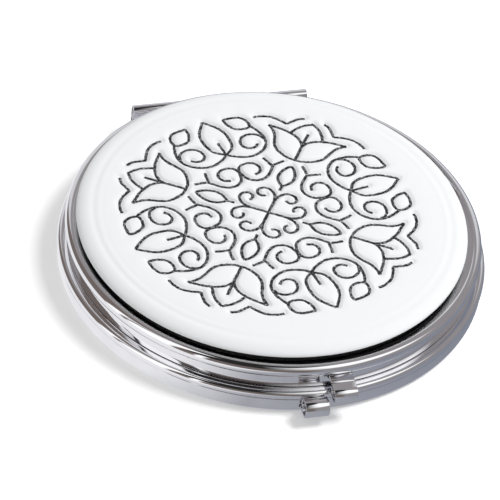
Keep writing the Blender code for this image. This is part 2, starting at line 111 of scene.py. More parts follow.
# The ornament's lines. One arm of the rosette points up, and the lines stand to its right, in
# drawing units from the rosette's centre.
DRAWING_UNITS = 700           # drawing units in the pad's radius
MIRRORED_LINES = (
    # Tulip: middle petal, top and outer edge of the side petal
    ((0, 530), (27, 510), (45, 487), (57, 463), (62, 449)),
    ((148, 462), (115, 459), (90, 457), (62, 450), (38, 440), (20, 427), (8, 412), (2, 398)),
    ((148, 462), (132, 448), (118, 430), (108, 408), (101, 382), (90, 356), (72, 336), (45, 320),
     (20, 312), (0, 311)),
    # Bracket over the tulip
    ((38, 548), (60, 535), (75, 515), (90, 493)),
    ((110, 500), (135, 505), (160, 505), (185, 497), (205, 485), (212, 478)),
    ((90, 493), (110, 500)),
    # Small leaf
    ((208, 424), (222, 442), (242, 453), (262, 453), (285, 440), (310, 418)),
    ((310, 418), (293, 401), (270, 390), (250, 387), (230, 396), (215, 410), (208, 424)),
    # Stem and its spiral
    ((207, 425), (190, 419), (168, 408), (150, 395), (135, 378), (125, 358), (122, 335),
     (126, 308), (140, 280), (162, 258), (190, 245), (215, 238), (237, 237)),
    ((140, 380), (158, 388), (172, 389), (190, 384), (205, 372), (215, 355), (216, 335),
     (208, 317), (193, 305), (177, 304), (162, 312), (153, 327), (153, 343)),
    # Diagonal leaf
    ((237, 237), (230, 270), (235, 295), (250, 318), (270, 340), (290, 355), (315, 365),
     (345, 370), (372, 373)),
    # Inner scroll: its forked end, trunk and spiral
    ((35, 290), (50, 272), (62, 255)),
    ((110, 275), (90, 264), (75, 253), (65, 248)),
    ((64, 250), (63, 230), (62, 200), (68, 175), (82, 155), (103, 144), (125, 143), (145, 152),
     (162, 165), (172, 182), (171, 200), (160, 217), (145, 228), (128, 232), (110, 225),
     (100, 212), (97, 198), (102, 185), (107, 177)),
    # Leaf on the arm
    ((0, 273), (13, 258), (24, 236), (29, 212), (25, 188), (14, 170), (0, 155)),
    # Curl of the centre cross
    ((1, 70), (5, 90), (13, 105), (27, 118), (45, 123), (62, 118), (73, 103), (70, 87),
     (58, 78), (45, 79), (38, 84)),
)
SINGLE_LINES = (
    ((0, 468), (0, 390), (0, 310)),
    ((0, 155), (0, 128)),
    ((0, 0), (0, 40), (0, 84)),
    ((240, 240), (262, 262), (285, 285)),
)


def length(name, description, default):
    return FloatProperty(name=name, description=description, default=default, min=0,
                         precision=5, unit='LENGTH')


def count(name, description, default):
    return IntProperty(name=name, description=description, default=default, min=3)


def angle(name, description, degrees):
    return FloatProperty(name=name, description=description, default=math.radians(degrees),
                         subtype='ANGLE')


def colour(name, description, default):
    return FloatVectorProperty(name=name, description=description, default=default, size=3,
                               min=0, max=1, subtype='COLOR')


def factor(name, description, default):
    return FloatProperty(name=name, description=description, default=default, min=0, max=1,
                         subtype='FACTOR')


class CaseSizes(PropertyGroup):
    """Sections of the two pressed shells and of what is bedded in them."""
    sheet: length("Sheet", "Wall of both pressed shells", 0.0005)
    pad_clearance: length("Pad clearance", "Between the pad and the wall of its recess", 0.0006)
    lid_lip: length("Lid lip", "Wall of the recess out to the middle of the top bead", 0.0003)
    lid_bead_section: length("Lid bead", "Section radius of the lid's top bead", 0.0010)
    lid_bead_reach: length("Lid bead reach", "How far that bead stands out past the band", 0.0005)
    lid_band_taper: length("Band taper", "How much narrower the band is at its top", 0.0002)
    recess_depth: length("Recess depth", "Top of the bead down to the seat of the pad", 0.00065)
    rim_step: length("Rim step", "Lid's band out to the side of the base", 0.0012)
    foot_fillet: length("Foot fillet", "Round edge between underside and side", 0.0010)
    rim_bead_section: length("Rim bead", "Section radius of the bead round the rim", 0.00075)
    rim_bead_reach: length("Rim bead reach", "How far it stands out past the side", 0.0002)
    rim_crease: length("Rim crease", "Step under the rim's bead", 0.0002)
    rim_width: length("Rim width", "Side of the base in to the mouth of its rim", 0.0021)
    edge: length("Edge", "Rounding of the pressed sheet's cut edges", 0.00012)
    mirror_thickness: length("Glass thickness", "Thickness of both glasses", 0.0015)
    mirror_bevel: length("Glass bevel", "Polished edge of the glasses", 0.0003)
    mirror_play: length("Glass play", "Between the glass and its ring", 0.0003)
    backing_setback: length("Bed setback", "The foam bed stops this far inside", 0.0012)
    backing_thickness: length("Bed thickness", "Foam bed under each glass", 0.0005)
    ring_sheet: length("Ring sheet", "Wall of the retaining rings", 0.0004)
    ring_lip: length("Ring lip", "How far a ring laps over its glass", 0.0010)
    ring_flange: length("Ring flange", "How far a ring runs out past its skirt", 0.0015)
    ring_clearance: length("Ring clearance", "Between that flange and the lid", 0.0008)
    layer_gap: length("Layer gap", "Glue line between stacked layers", 0.00008)
    steps: count("Steps round", "Facets round the case", 288)


class HingeSizes(PropertyGroup):
    """Link hinge with its two pins, and the leaves that it joins."""
    pin_spacing: length("Pin spacing", "Lower pin to upper pin", 0.0019)
    pin_radius: length("Pin radius", "Radius of the pins", 0.000375)
    pin_play: length("Pin play", "Between a pin and what turns on it", 0.00005)
    pin_sink: length("Pin sink", "Each pin's end lies this far in", 0.0003)
    pin_dome: length("Pin dome", "Rounding of a pin's end", 0.0001)
    barrel_radius: length("Barrel radius", "Outer radius of the barrels", 0.0008)
    barrel_clearance: length("Barrel clearance", "Between barrels and lid", 0.0004)
    web: length("Web", "Back wall of the link", 0.0004)
    leaf_flange: length("Leaf flange", "Gap between a ring's skirt and a leaf", 0.0004)
    leaf_corner: length("Leaf corner", "Between a leaf's corners and the lid", 0.00012)
    leaf_clearance: length("Leaf clearance", "Between a leaf and the link", 0.00035)
    lid_ear: length("Lid ear", "Length of each of the lid's ears", 0.0030)
    base_ear: length("Base ear", "Length of the base's ear", 0.0044)
    ear_gap: length("Ear gap", "Between an ear and the barrels beside it", 0.0002)
    ear_land: length("Ear land", "Solid barrel between the windows", 0.0003)
    slot_clearance: length("Slot clearance", "Round what passes through a wall", 0.0001)
    pocket_clearance: length("Pocket clearance", "Between link and pocket", 0.00025)
    pocket_wall: length("Pocket wall", "Wall and shelf behind and under the link", 0.0004)
    edge: length("Edge", "Rounding of the hinge's cut edges", 0.00006)


class CatchSizes(PropertyGroup):
    """The two rolled thumb tabs."""
    sheet: length("Tab sheet", "Strip that the tabs are rolled from", 0.00035)
    width: length("Tab width", "Width of each tab", 0.0035)
    spacing: length("Tab spacing", "Between the two rolled ends", 0.0007)
    clearance: length("Tab clearance", "Between a rolled end and the rim's bead", 0.0001)
    lid_roll: length("Lid roll", "Outer radius of the lid's rolled end", 0.00115)
    base_roll: length("Base roll", "Outer radius of the base's rolled end", 0.0014)
    lid_rise: length("Lid tab rise", "Lid's lower edge up to the top of its tab", 0.0017)
    base_rise: length("Base tab rise", "Underside up to the base's tab", 0.00125)
    lid_flange: length("Lid tab flange", "Between the ring's skirt and the tab", 0.0010)
    tongue_rise: length("Tongue rise", "Spring tongue above the rim", 0.0012)
    tongue_clearance: length("Tongue clearance", "Between tongue and rings", 0.0002)
    edge: length("Edge", "Rounding of the tabs' cut edges", 0.00005)


class PadSizes(PropertyGroup):
    """Leather pad with its pressed ornament."""
    tuck: length("Tuck", "How far the foot of the leather's side is drawn in", 0.0003)
    side: length("Side", "Height of that side", 0.0002)
    crown: length("Crown", "Rise of the crown above it", 0.0013)
    dome: length("Dome", "How much higher the crown's middle is than its shoulder", 0.0003)
    shoulder: length("Shoulder", "Width of the round shoulder", 0.0027)
    leather: length("Leather", "Thickness of the leather", 0.0006)
    foam_clearance: length("Foam clearance", "Between foam and leather", 0.0003)
    board: length("Board", "Thickness of the board", 0.0008)
    board_setback: length("Board setback", "The board stops this far inside", 0.0005)
    tape: length("Tape", "Sheet adhesive under the board", 0.00012)
    tape_setback: length("Tape setback", "It stops this far inside the board", 0.0005)
    field_radius: length("Field radius", "Edge of the pressed field", 0.0250)
    valley_radius: length("Valley radius", "Middle of the shallow valley round it", 0.0265)
    valley_reach: length("Valley reach", "Half the width of that valley", 0.0006)
    valley_depth: length("Valley depth", "Depth of that valley", 0.00013)
    field_sink: length("Field sink", "How far the field lies below the crown", 0.00022)
    puff: length("Puff", "How far the leather swells between the lines", 0.00020)
    puff_reach: length("Puff reach", "Distance over which it swells", 0.0006)
    groove: length("Groove", "Depth of the pressed lines", 0.00022)
    groove_floor: length("Groove floor", "Half the width of a line's floor", 0.00030)
    groove_mouth: length("Groove mouth", "Half the width of a line's mouth", 0.00055)
    foil_width: length("Foil width", "Half the width of the foil in a line", 0.00025)
    foil_height: length("Foil height", "Half the thickness of the foil's bead", 0.00009)
    foil_ragged: length("Foil ragged", "How far the foil's edge wanders up and down", 0.00010)
    arm_angle: angle("Arm angle", "Direction of one arm of the rosette", 57.35)
    centre: FloatVectorProperty(name="Centre", description="Rosette's centre on the pad",
                                default=(-0.00045, 0.00090), size=2, unit='LENGTH', precision=5)
    steps: count("Steps round", "Facets round the pad", 720)
    rings: count("Rings", "Rings of facets across the pressed field", 112)


class Finishes(PropertyGroup):
    """Colours of the pieces. Those of the finishes that material_named skips have no effect."""
    plate: colour("Plate", "Polished plate of the case", (0.90, 0.90, 0.92))
    plate_dull: colour("Handled plate", "Plate where it has been touched", (0.80, 0.80, 0.82))
    steel: colour("Pin steel", "Drawn wire of the pins", (0.45, 0.45, 0.46))
    leather: colour("Leather", "White leather", (0.72, 0.73, 0.74))
    leather_shade: colour("Leather shade", "Deeper tone of its grain", (0.685, 0.70, 0.715))
    foil: colour("Foil", "Dark foil of the ornament", (0.012, 0.013, 0.018))
    foil_worn: colour("Worn foil", "Foil where it is thin", (0.32, 0.32, 0.34))
    board: colour("Board", "Dark board with a dull cut edge", (0.30, 0.30, 0.30))
    board_fibre: colour("Board fibre", "Paler fibres in the board", (0.90, 0.89, 0.87))
    foam: colour("Foam", "Soft white foam", (0.82, 0.82, 0.80))
    foam_shade: colour("Foam shade", "Cells of the foam", (0.62, 0.62, 0.60))
    tape: colour("Tape", "Sheet adhesive", (0.90, 0.88, 0.78))
    tape_shade: colour("Tape shade", "Weave of the adhesive sheet", (0.75, 0.72, 0.60))
    glass: colour("Glass", "Silvered glass", (0.92, 0.94, 0.95))
    glass_shade: colour("Glass shade", "Tone of its silvering", (0.86, 0.89, 0.90))
    floor: colour("Floor", "Plain pale floor", (0.97, 0.97, 0.97))
    # Painted reflection: for reflected rays only, the floor glows unlit in these tones, pale on the
    # left, grey in front and dark blue-grey on the right.
    painted_reflection_left: colour("Painted reflection, left", "Unlit tone painted into the plate's reflection", (0.88, 0.88, 0.90))
    painted_reflection_middle: colour("Painted reflection, middle", "The same in front", (0.38, 0.385, 0.42))
    painted_reflection_right: colour("Painted reflection, right", "The same on the right", (0.22, 0.24, 0.29))
    painted_reflection_reach: length("Painted reflection reach", "Over this far either side of the axis", 0.030)
    floor_lift: factor("Floor lift", "Glow that keeps the floor pale in the picture", 0.24)


class StageSettings(PropertyGroup):
    """Floor, light and camera."""
    floor_size: length("Floor size", "Side of the floor", 6.0)
    key_distance: length("Key distance", "Key light from the case", 0.6)
    key_size: length("Key size", "Side of the key light", 0.22)
    key_azimuth: angle("Key azimuth", "Direction of the key light from +X", -8)
    key_elevation: angle("Key elevation", "Height of the key light", 60)
    key_power: FloatProperty(name="Key power", description="Power of the key light",
                             default=2.35, min=0, unit='POWER')
    sky_strength: FloatProperty(name="Sky strength", description="Brightness of the soft light",
                                default=0.50, min=0)
    studio_strength: FloatProperty(name="Studio strength", default=1.15, min=0,
                                   description="Brightness of what the plate mirrors")
    camera_azimuth: angle("Camera azimuth", "Camera's place round the case", -19.81)
    camera_elevation: angle("Camera elevation", "Camera's height", 41.39)
    camera_roll: angle("Camera roll", "Turn of the camera about its view", 7.55)
    camera_distance: length("Camera distance", "Camera from the pad's edge plane", 0.7512)
    aim_height: length("Aim height", "Height of the point that the camera frames", 0.00858)
    lens: FloatProperty(name="Lens", description="Focal length", default=367.0,
                        unit='CAMERA')


def arc(centre, radius, start, end, steps):
    """Points of a section on an arc from start to end, in degrees."""
    points = []
    for i in range(steps + 1):
        turn = math.radians(start + (end - start) * i / steps)
        points.append((centre[0] + radius * math.cos(turn), centre[1] + radius * math.sin(turn)))
    return points


def angle_at(offset, radius):
    """Angle in degrees at which a circle stands at this offset from its centre."""
    return math.degrees(math.acos(max(-1, min(1, offset / radius))))


def rounded(corners, steps=4):
    """Points of a section from corners (distance, height, rounding radius)."""
    points = []
    for i, (distance, height, radius) in enumerate(corners):
        here = Vector((distance, height))
        if not radius:
            points.append(tuple(here))
            continue
        before = (Vector(corners[i - 1][:2]) - here).normalized()
        after = (Vector(corners[(i + 1) % len(corners)][:2]) - here).normalized()
        half = before.angle(after) / 2
        start = before * radius / math.tan(half)
        end = after * radius / math.tan(half)
        middle = (before + after).normalized() * radius / math.sin(half)
        for k in range(steps + 1):
            spoke = (start - middle).lerp(end - middle, k / steps).normalized() * radius
            points.append(tuple(here + middle + spoke))
    return points


def measures():
    """Places that follow from the panel's sizes, worked out from the pad outwards."""
    case = bpy.context.scene.mirror_case
    hinge = bpy.context.scene.mirror_hinge
    catch = bpy.context.scene.mirror_catch
    pad = bpy.context.scene.mirror_pad
    m = SimpleNamespace(pad_radius=(PAD_BOX[1].x - PAD_BOX[0].x) / 2,
                        pad_shift=Vector(((PAD_BOX[1].x + PAD_BOX[0].x) / 2, 0, 0)),
                        base_height=BASE_BOX[1].z, seam=LID_BOX[0].z)
    m.recess_radius = m.pad_radius + case.pad_clearance
    m.lid_bead = (m.recess_radius + case.lid_lip, LID_BOX[1].z - case.lid_bead_section)
    m.band_radius = m.lid_bead[0] + case.lid_bead_section - case.lid_bead_reach
    m.band_top_radius = m.band_radius - case.lid_band_taper
    m.band_top = m.lid_bead[1] - case.lid_bead_section
    m.lid_inside = m.band_top_radius - case.sheet
    m.base_radius = m.band_radius + case.rim_step
    m.rim_mouth = m.base_radius - case.rim_width
    m.rim_bead = (m.base_radius + case.rim_bead_reach - case.rim_bead_section,
                  m.base_height - case.rim_bead_section)
    m.ring_radius = m.lid_inside - case.ring_clearance
    m.skirt_radius = m.ring_radius - case.ring_flange
    m.mirror_radius = m.skirt_radius - case.ring_sheet - case.mirror_play
    m.pad_seat = LID_BOX[1].z - case.recess_depth
    m.roof = m.pad_seat - case.sheet
    m.board_foot = m.pad_seat + case.layer_gap + pad.tape + case.layer_gap
    m.pad_foot = m.board_foot + pad.board + case.layer_gap
    m.pad_edge = m.pad_foot + pad.side
    m.hinge_offset = m.band_radius + hinge.barrel_clearance + hinge.barrel_radius
    m.pin_middle = (m.base_height + m.seam) / 2
    m.upper_pin = Vector((0, m.hinge_offset, m.pin_middle + hinge.pin_spacing / 2))
    m.lower_pin = Vector((0, m.hinge_offset, m.pin_middle - hinge.pin_spacing / 2))
    m.leaf_sheet = hinge.barrel_radius - hinge.pin_radius - hinge.pin_play
    m.leaf_seat = m.skirt_radius + hinge.leaf_flange
    reach = (m.lid_inside - hinge.leaf_corner) ** 2 - (m.leaf_seat + m.leaf_sheet) ** 2
    m.leaf_half = math.sqrt(reach)
    m.link_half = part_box("hinge_link")[1].x
    offset = (hinge.base_ear + hinge.lid_ear) / 2 + 2 * hinge.ear_gap + hinge.ear_land
    half = hinge.lid_ear / 2
    m.lid_ears = [(-offset - half, -offset + half), (offset - half, offset + half)]
    m.base_ears = [(-hinge.base_ear / 2, hinge.base_ear / 2)]
    m.tab_reach = m.base_radius + case.rim_bead_reach + catch.clearance
    m.lid_tab = (catch.spacing / 2, catch.spacing / 2 + catch.width)
    m.base_tab = (-catch.spacing / 2 - catch.width, -catch.spacing / 2)
    return m


def turned(profile, steps, ring=False):
    """Turn a section round the case's axis. A ring's section is closed."""
    bm = bmesh.new()
    verts = [bm.verts.new((distance, 0, height)) for distance, height in profile]
    pairs = list(zip(verts, verts[1:]))
    if ring:
        pairs.append((verts[-1], verts[0]))
    edges = [bm.edges.new(pair) for pair in pairs]
    bmesh.ops.spin(bm, geom=verts + edges, cent=(0, 0, 0), axis=(0, 0, 1),
                   angle=math.tau, steps=steps, use_merge=True)
    return bm


def grow(points, way):
    """Fill an outline and extrude it."""
    bm = bmesh.new()
    face = bm.faces.new([bm.verts.new(point) for point in points])
    grown = bmesh.ops.extrude_face_region(bm, geom=[face])["geom"]
    moved = [v for v in grown if isinstance(v, bmesh.types.BMVert)]
    bmesh.ops.translate(bm, verts=moved, vec=way)
    return bm


def extruded(outline, low, high):
    """Run a section along X from low to high."""
    return grow([(low, y, z) for y, z in outline], (high - low, 0, 0))


def widened(low, high, gap):
    """A span with a clearance at both ends."""
    return low - gap, high + gap


def cut(x_span, y_span, z_span):
    """A Boolean step that takes a plain box away."""
    y0, y1 = y_span
    z0, z1 = z_span
    return extruded([(y0, z0), (y1, z0), (y1, z1), (y0, z1)], *x_span), 'DIFFERENCE'


def rod(place, radius, half_length, segments=32):
    """A round bar along X."""
    bm = bmesh.new()
    lying = Matrix.Translation(place) @ Matrix.Rotation(math.pi / 2, 4, 'Y')
    bmesh.ops.create_cone(bm, cap_ends=True, segments=segments, radius1=radius,
                          radius2=radius, depth=2 * half_length, matrix=lying)
    return bm


def soften(bm, width, segments=2):
    """Round every sharp edge a little."""
    bmesh.ops.recalc_face_normals(bm, faces=bm.faces)
    sharp = [edge for edge in bm.edges
             if edge.is_manifold and edge.calc_face_angle() > SMOOTH_ANGLE]
    bmesh.ops.bevel(bm, geom=sharp, offset=width, offset_type='OFFSET', segments=segments,
                    profile=0.5, affect='EDGES', material=-1, clamp_overlap=True)
    return bm


def scratch_object(bm):
    """A passing object, for the Boolean steps."""
    bmesh.ops.remove_doubles(bm, verts=bm.verts, dist=MERGE)
    bmesh.ops.recalc_face_normals(bm, faces=bm.faces)
    mesh = bpy.data.meshes.new("passing")
    bm.to_mesh(mesh)
    bm.free()
    thing = bpy.data.objects.new("passing", mesh)
    bpy.context.scene.collection.objects.link(thing)
    return thing


def carved(bm, *steps):
    """Run Boolean steps on a shape, each a pair of cutter and operation, and return the result."""
    body = scratch_object(bm)
    guides = []
    for cutter, operation in steps:
        guide = scratch_object(cutter)
        step = body.modifiers.new("step", 'BOOLEAN')
        step.operation = operation
        step.solver = 'EXACT'
        step.object = guide
        guides.append(guide)
    bpy.context.view_layer.update()
    graph = bpy.context.evaluated_depsgraph_get()
    mesh = bpy.data.meshes.new_from_object(body.evaluated_get(graph))
    result = bmesh.new()
    result.from_mesh(mesh)
    bpy.data.meshes.remove(mesh)
    for thing in [body] + guides:
        bpy.data.meshes.remove(thing.data)
    return result


def add_piece(name, bm, material, body, nodes=()):
    """Make an object of a shape, where it stands, and hand it to the body that carries it."""
    bmesh.ops.remove_doubles(bm, verts=bm.verts, dist=MERGE)
    bmesh.ops.recalc_face_normals(bm, faces=bm.faces)
    mesh = bpy.data.meshes.new(name)
    bm.to_mesh(mesh)
    bm.free()
    mesh.materials.append(material)
    mesh.shade_smooth()
    mesh.set_sharp_from_angle(angle=SMOOTH_ANGLE)
    thing = bpy.data.objects.new(name, mesh)
    bpy.context.scene.collection.objects.link(thing)
    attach(thing, body)
    if nodes:
        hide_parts(*nodes)
    return thing


def add_node(tree, kind, links=None, **values):
    """Add a node, set its attributes and connect or set its inputs."""
    node = tree.nodes.new(kind)
    for key, value in values.items():
        setattr(node, key, value)
    for key, value in (links or {}).items():
        if isinstance(value, bpy.types.NodeSocket):
            tree.links.new(value, node.inputs[key])
        else:
            node.inputs[key].default_value = value
    return node


def new_group(name, inputs, outputs):
    """An empty shader node group with its sockets, and its input and output nodes."""
    group = bpy.data.node_groups.new(name, 'ShaderNodeTree')
    for label, kind, value in inputs:
        socket = group.interface.new_socket(label, in_out='INPUT', socket_type=kind)
        if value is not None:
            socket.default_value = value
    for label, kind in outputs:
        group.interface.new_socket(label, in_out='OUTPUT', socket_type=kind)
    return group, group.nodes.new("NodeGroupInput"), group.nodes.new("NodeGroupOutput")


def mottle_group():
    """Uneven patches between a low and a high value."""
    if "mottle" in bpy.data.node_groups:
        return bpy.data.node_groups["mottle"]
    group, given, out = new_group(
        "mottle",
        [("Vector", 'NodeSocketVector', None), ("Scale", 'NodeSocketFloat', 400.0),
         ("Detail", 'NodeSocketFloat', 4.0), ("Low", 'NodeSocketFloat', 0.0),
         ("High", 'NodeSocketFloat', 1.0)],
        [("Value", 'NodeSocketFloat')])
    noise = add_node(group, "ShaderNodeTexNoise", {
        "Vector": given.outputs["Vector"], "Scale": given.outputs["Scale"],
        "Detail": given.outputs["Detail"]})
    spread = add_node(group, "ShaderNodeMapRange", {
        "Value": noise.outputs["Fac"], "From Min": 0.3, "From Max": 0.7,
        "To Min": given.outputs["Low"], "To Max": given.outputs["High"]})
    group.links.new(spread.outputs["Result"], out.inputs["Value"])
    return group


def scratch_group():
    """Hair-fine rubbing marks, as a mask and as a height."""
    if "rubbing" in bpy.data.node_groups:
        return bpy.data.node_groups["rubbing"]
    group, given, out = new_group(
        "rubbing",
        [("Vector", 'NodeSocketVector', None), ("Scale", 'NodeSocketFloat', 900.0),
         ("Amount", 'NodeSocketFloat', 0.3)],
        [("Mask", 'NodeSocketFloat')])
    total = None
    for turn_share in (0.13, 0.41, 0.78):
        turn = add_node(group, "ShaderNodeMapping", {
            "Vector": given.outputs["Vector"], "Rotation": (0, 0, math.pi * turn_share),
            "Scale": (1, 0.03, 1)})
        noise = add_node(group, "ShaderNodeTexNoise", {
            "Vector": turn.outputs["Vector"], "Scale": given.outputs["Scale"], "Detail": 1.0})
        line = add_node(group, "ShaderNodeMapRange", {
            "Value": noise.outputs["Fac"], "From Min": 0.66, "From Max": 0.74})
        if total is None:
            total = line.outputs["Result"]
        else:
            total = add_node(group, "ShaderNodeMath", {0: total, 1: line.outputs["Result"]},
                             operation='MAXIMUM').outputs[0]
    strength = add_node(group, "ShaderNodeMath", {0: total, 1: given.outputs["Amount"]},
                        operation='MULTIPLY')
    group.links.new(strength.outputs[0], out.inputs["Mask"])
    return group


def grain_group():
    """Pebbled skin: raised cells with soft creases between them."""
    if "skin_grain" in bpy.data.node_groups:
        return bpy.data.node_groups["skin_grain"]
    group, given, out = new_group(
        "skin_grain",
        [("Vector", 'NodeSocketVector', None), ("Scale", 'NodeSocketFloat', 2500.0),
         ("Uneven", 'NodeSocketFloat', 0.35)],
        [("Height", 'NodeSocketFloat')])
    noise = add_node(group, "ShaderNodeTexNoise", {
        "Vector": given.outputs["Vector"], "Scale": given.outputs["Scale"], "Detail": 3.0})
    bend = add_node(group, "ShaderNodeMath", {
        0: noise.outputs["Fac"], 1: given.outputs["Uneven"]}, operation='MULTIPLY')
    cells = add_node(group, "ShaderNodeTexVoronoi", {
        "Vector": given.outputs["Vector"], "Scale": given.outputs["Scale"]},
        feature='SMOOTH_F1')
    total = add_node(group, "ShaderNodeMath", {
        0: bend.outputs[0], 1: cells.outputs["Distance"]}, operation='SUBTRACT')
    group.links.new(total.outputs[0], out.inputs["Height"])
    return group


def start_material(name, roughness, metallic=0.0):
    """A new material, with its node tree, its shader and its object coordinates."""
    material = bpy.data.materials.new(name)
    material.use_nodes = True
    tree = material.node_tree
    shader = tree.nodes["Principled BSDF"]
    shader.inputs["Roughness"].default_value = roughness
    shader.inputs["Metallic"].default_value = metallic
    place = tree.nodes.new("ShaderNodeTexCoord").outputs["Object"]
    return material, tree, shader, place


def mottle(tree, place, scale, low, high, detail=4.0):
    """Place the mottle group and return its value."""
    node = add_node(tree, "ShaderNodeGroup", node_tree=mottle_group())
    tree.links.new(place, node.inputs["Vector"])
    for key, value in (("Scale", scale), ("Detail", detail), ("Low", low), ("High", high)):
        node.inputs[key].default_value = value
    return node.outputs["Value"]


def rubbing(tree, place, scale, amount):
    """Place the rubbing group and return its mask."""
    node = add_node(tree, "ShaderNodeGroup", node_tree=scratch_group())
    tree.links.new(place, node.inputs["Vector"])
    node.inputs["Scale"].default_value = scale
    node.inputs["Amount"].default_value = amount
    return node.outputs["Mask"]


def two_tone(tree, shader, mask, first, second):
    """Base colour between two tones."""
    mix = add_node(tree, "ShaderNodeMix", data_type='RGBA')
    tree.links.new(mask, mix.inputs["Factor"])
    mix.inputs["A"].default_value = (*first, 1)
    mix.inputs["B"].default_value = (*second, 1)
    tree.links.new(mix.outputs["Result"], shader.inputs["Base Color"])


def bump(tree, shader, height, distance, strength=1.0):
    """Relief from a height that changes over the surface."""
    node = add_node(tree, "ShaderNodeBump", {"Height": height, "Distance": distance,
                                             "Strength": strength})
    tree.links.new(node.outputs["Normal"], shader.inputs["Normal"])


def material_named(name):
    """The finish of this name, made when it is first asked for.

    A material that the import of model.glb has brought in under the same name is kept as it is, flat.
    So leather, board, foam, tape and pin_steel are never made here, which is a known fault.
    """
    if name not in bpy.data.materials:
        MAKERS[name](name, bpy.context.scene.mirror_finishes)
    return bpy.data.materials[name]


def make_plate(name, finishes):
    """Polished plate: bright, with faint waves in the pressed sheet and fine rubbing marks."""
    material, tree, shader, place = start_material(name, 0.05, 1.0)
    marks = rubbing(tree, place, 1400.0, 0.35)
    two_tone(tree, shader, mottle(tree, place, 260.0, 0.0, 0.5), finishes.plate,
             finishes.plate_dull)
    scaled = add_node(tree, "ShaderNodeMath", {0: marks, 1: 0.15}, operation='MULTIPLY')
    haze = add_node(tree, "ShaderNodeMath", {
        0: mottle(tree, place, 700.0, 0.03, 0.07), 1: scaled.outputs[0]}, operation='ADD')
    tree.links.new(haze.outputs[0], shader.inputs["Roughness"])
    bump(tree, shader, mottle(tree, place, 260.0, 0.0, 1.0, 1.0), WAVE_HEIGHT)


def make_pin_steel(name, finishes):
    """Drawn wire with lengthwise lines."""
    material, tree, shader, place = start_material(name, 0.3, 1.0)
    lined = add_node(tree, "ShaderNodeMapping", {"Vector": place, "Scale": (0.05, 1, 1)})
    lines = mottle(tree, lined.outputs["Vector"], 6000.0, 0.22, 0.40)
    two_tone(tree, shader, mottle(tree, place, 900.0, 0.0, 1.0), finishes.steel,
             finishes.plate_dull)
    tree.links.new(lines, shader.inputs["Roughness"])


def make_leather(name, finishes):
    """White leather, finely grained and a little uneven."""
    material, tree, shader, place = start_material(name, 0.45)
    shader.inputs["Specular IOR Level"].default_value = 0.4
    two_tone(tree, shader, mottle(tree, place, 150.0, 0.0, 0.45), finishes.leather,
             finishes.leather_shade)
    tree.links.new(mottle(tree, place, 600.0, 0.40, 0.52), shader.inputs["Roughness"])
    grain = add_node(tree, "ShaderNodeGroup", node_tree=grain_group())
    tree.links.new(place, grain.inputs["Vector"])
    bump(tree, shader, grain.outputs["Height"], GRAIN_HEIGHT, 0.5)


def make_foil(name, finishes):
    """Dark foil pressed into the leather, speckled where it is thin."""
    material, tree, shader, place = start_material(name, 0.5)
    shader.inputs["Specular IOR Level"].default_value = 0.3
    two_tone(tree, shader, mottle(tree, place, 3200.0, -1.3, 1.3, 3.0), finishes.foil,
             finishes.foil_worn)
    tree.links.new(mottle(tree, place, 3000.0, 0.40, 0.65), shader.inputs["Roughness"])
    bump(tree, shader, mottle(tree, place, 3800.0, 0.0, 1.0, 6.0), GRAIN_HEIGHT)


def make_board(name, finishes):
    """Dark board whose cut edge shows paler fibres."""
    material, tree, shader, place = start_material(name, 0.8)
    shader.inputs["Specular IOR Level"].default_value = 0.2
    two_tone(tree, shader, mottle(tree, place, 2200.0, -1.6, 1.4, 3.0), finishes.board,
             finishes.board_fibre)
    tree.links.new(mottle(tree, place, 2600.0, 0.5, 0.9), shader.inputs["Roughness"])
    bump(tree, shader, mottle(tree, place, 2600.0, 0.0, 1.0, 6.0), BOARD_HEIGHT)


def make_foam(name, finishes):
    """Soft foam with fine open cells."""
    material, tree, shader, place = start_material(name, 0.95)
    cells = mottle(tree, place, 3500.0, 0.0, 1.0, 2.0)
    two_tone(tree, shader, cells, finishes.foam, finishes.foam_shade)
    bump(tree, shader, cells, CELL_HEIGHT)


def make_tape(name, finishes):
    """Thin double-sided sheet with its fibres showing."""
    material, tree, shader, place = start_material(name, 0.6)
    fibres = mottle(tree, place, 1800.0, 0.0, 1.0, 5.0)
    two_tone(tree, shader, fibres, finishes.tape, finishes.tape_shade)
    tree.links.new(mottle(tree, place, 900.0, 0.5, 0.7), shader.inputs["Roughness"])


def make_glass(name, finishes):
    """Silvered glass with a trace of handling."""
    material, tree, shader, place = start_material(name, 0.01, 1.0)
    two_tone(tree, shader, mottle(tree, place, 60.0, 0.0, 1.0), finishes.glass,
             finishes.glass_shade)
    tree.links.new(mottle(tree, place, 160.0, 0.004, 0.02), shader.inputs["Roughness"])


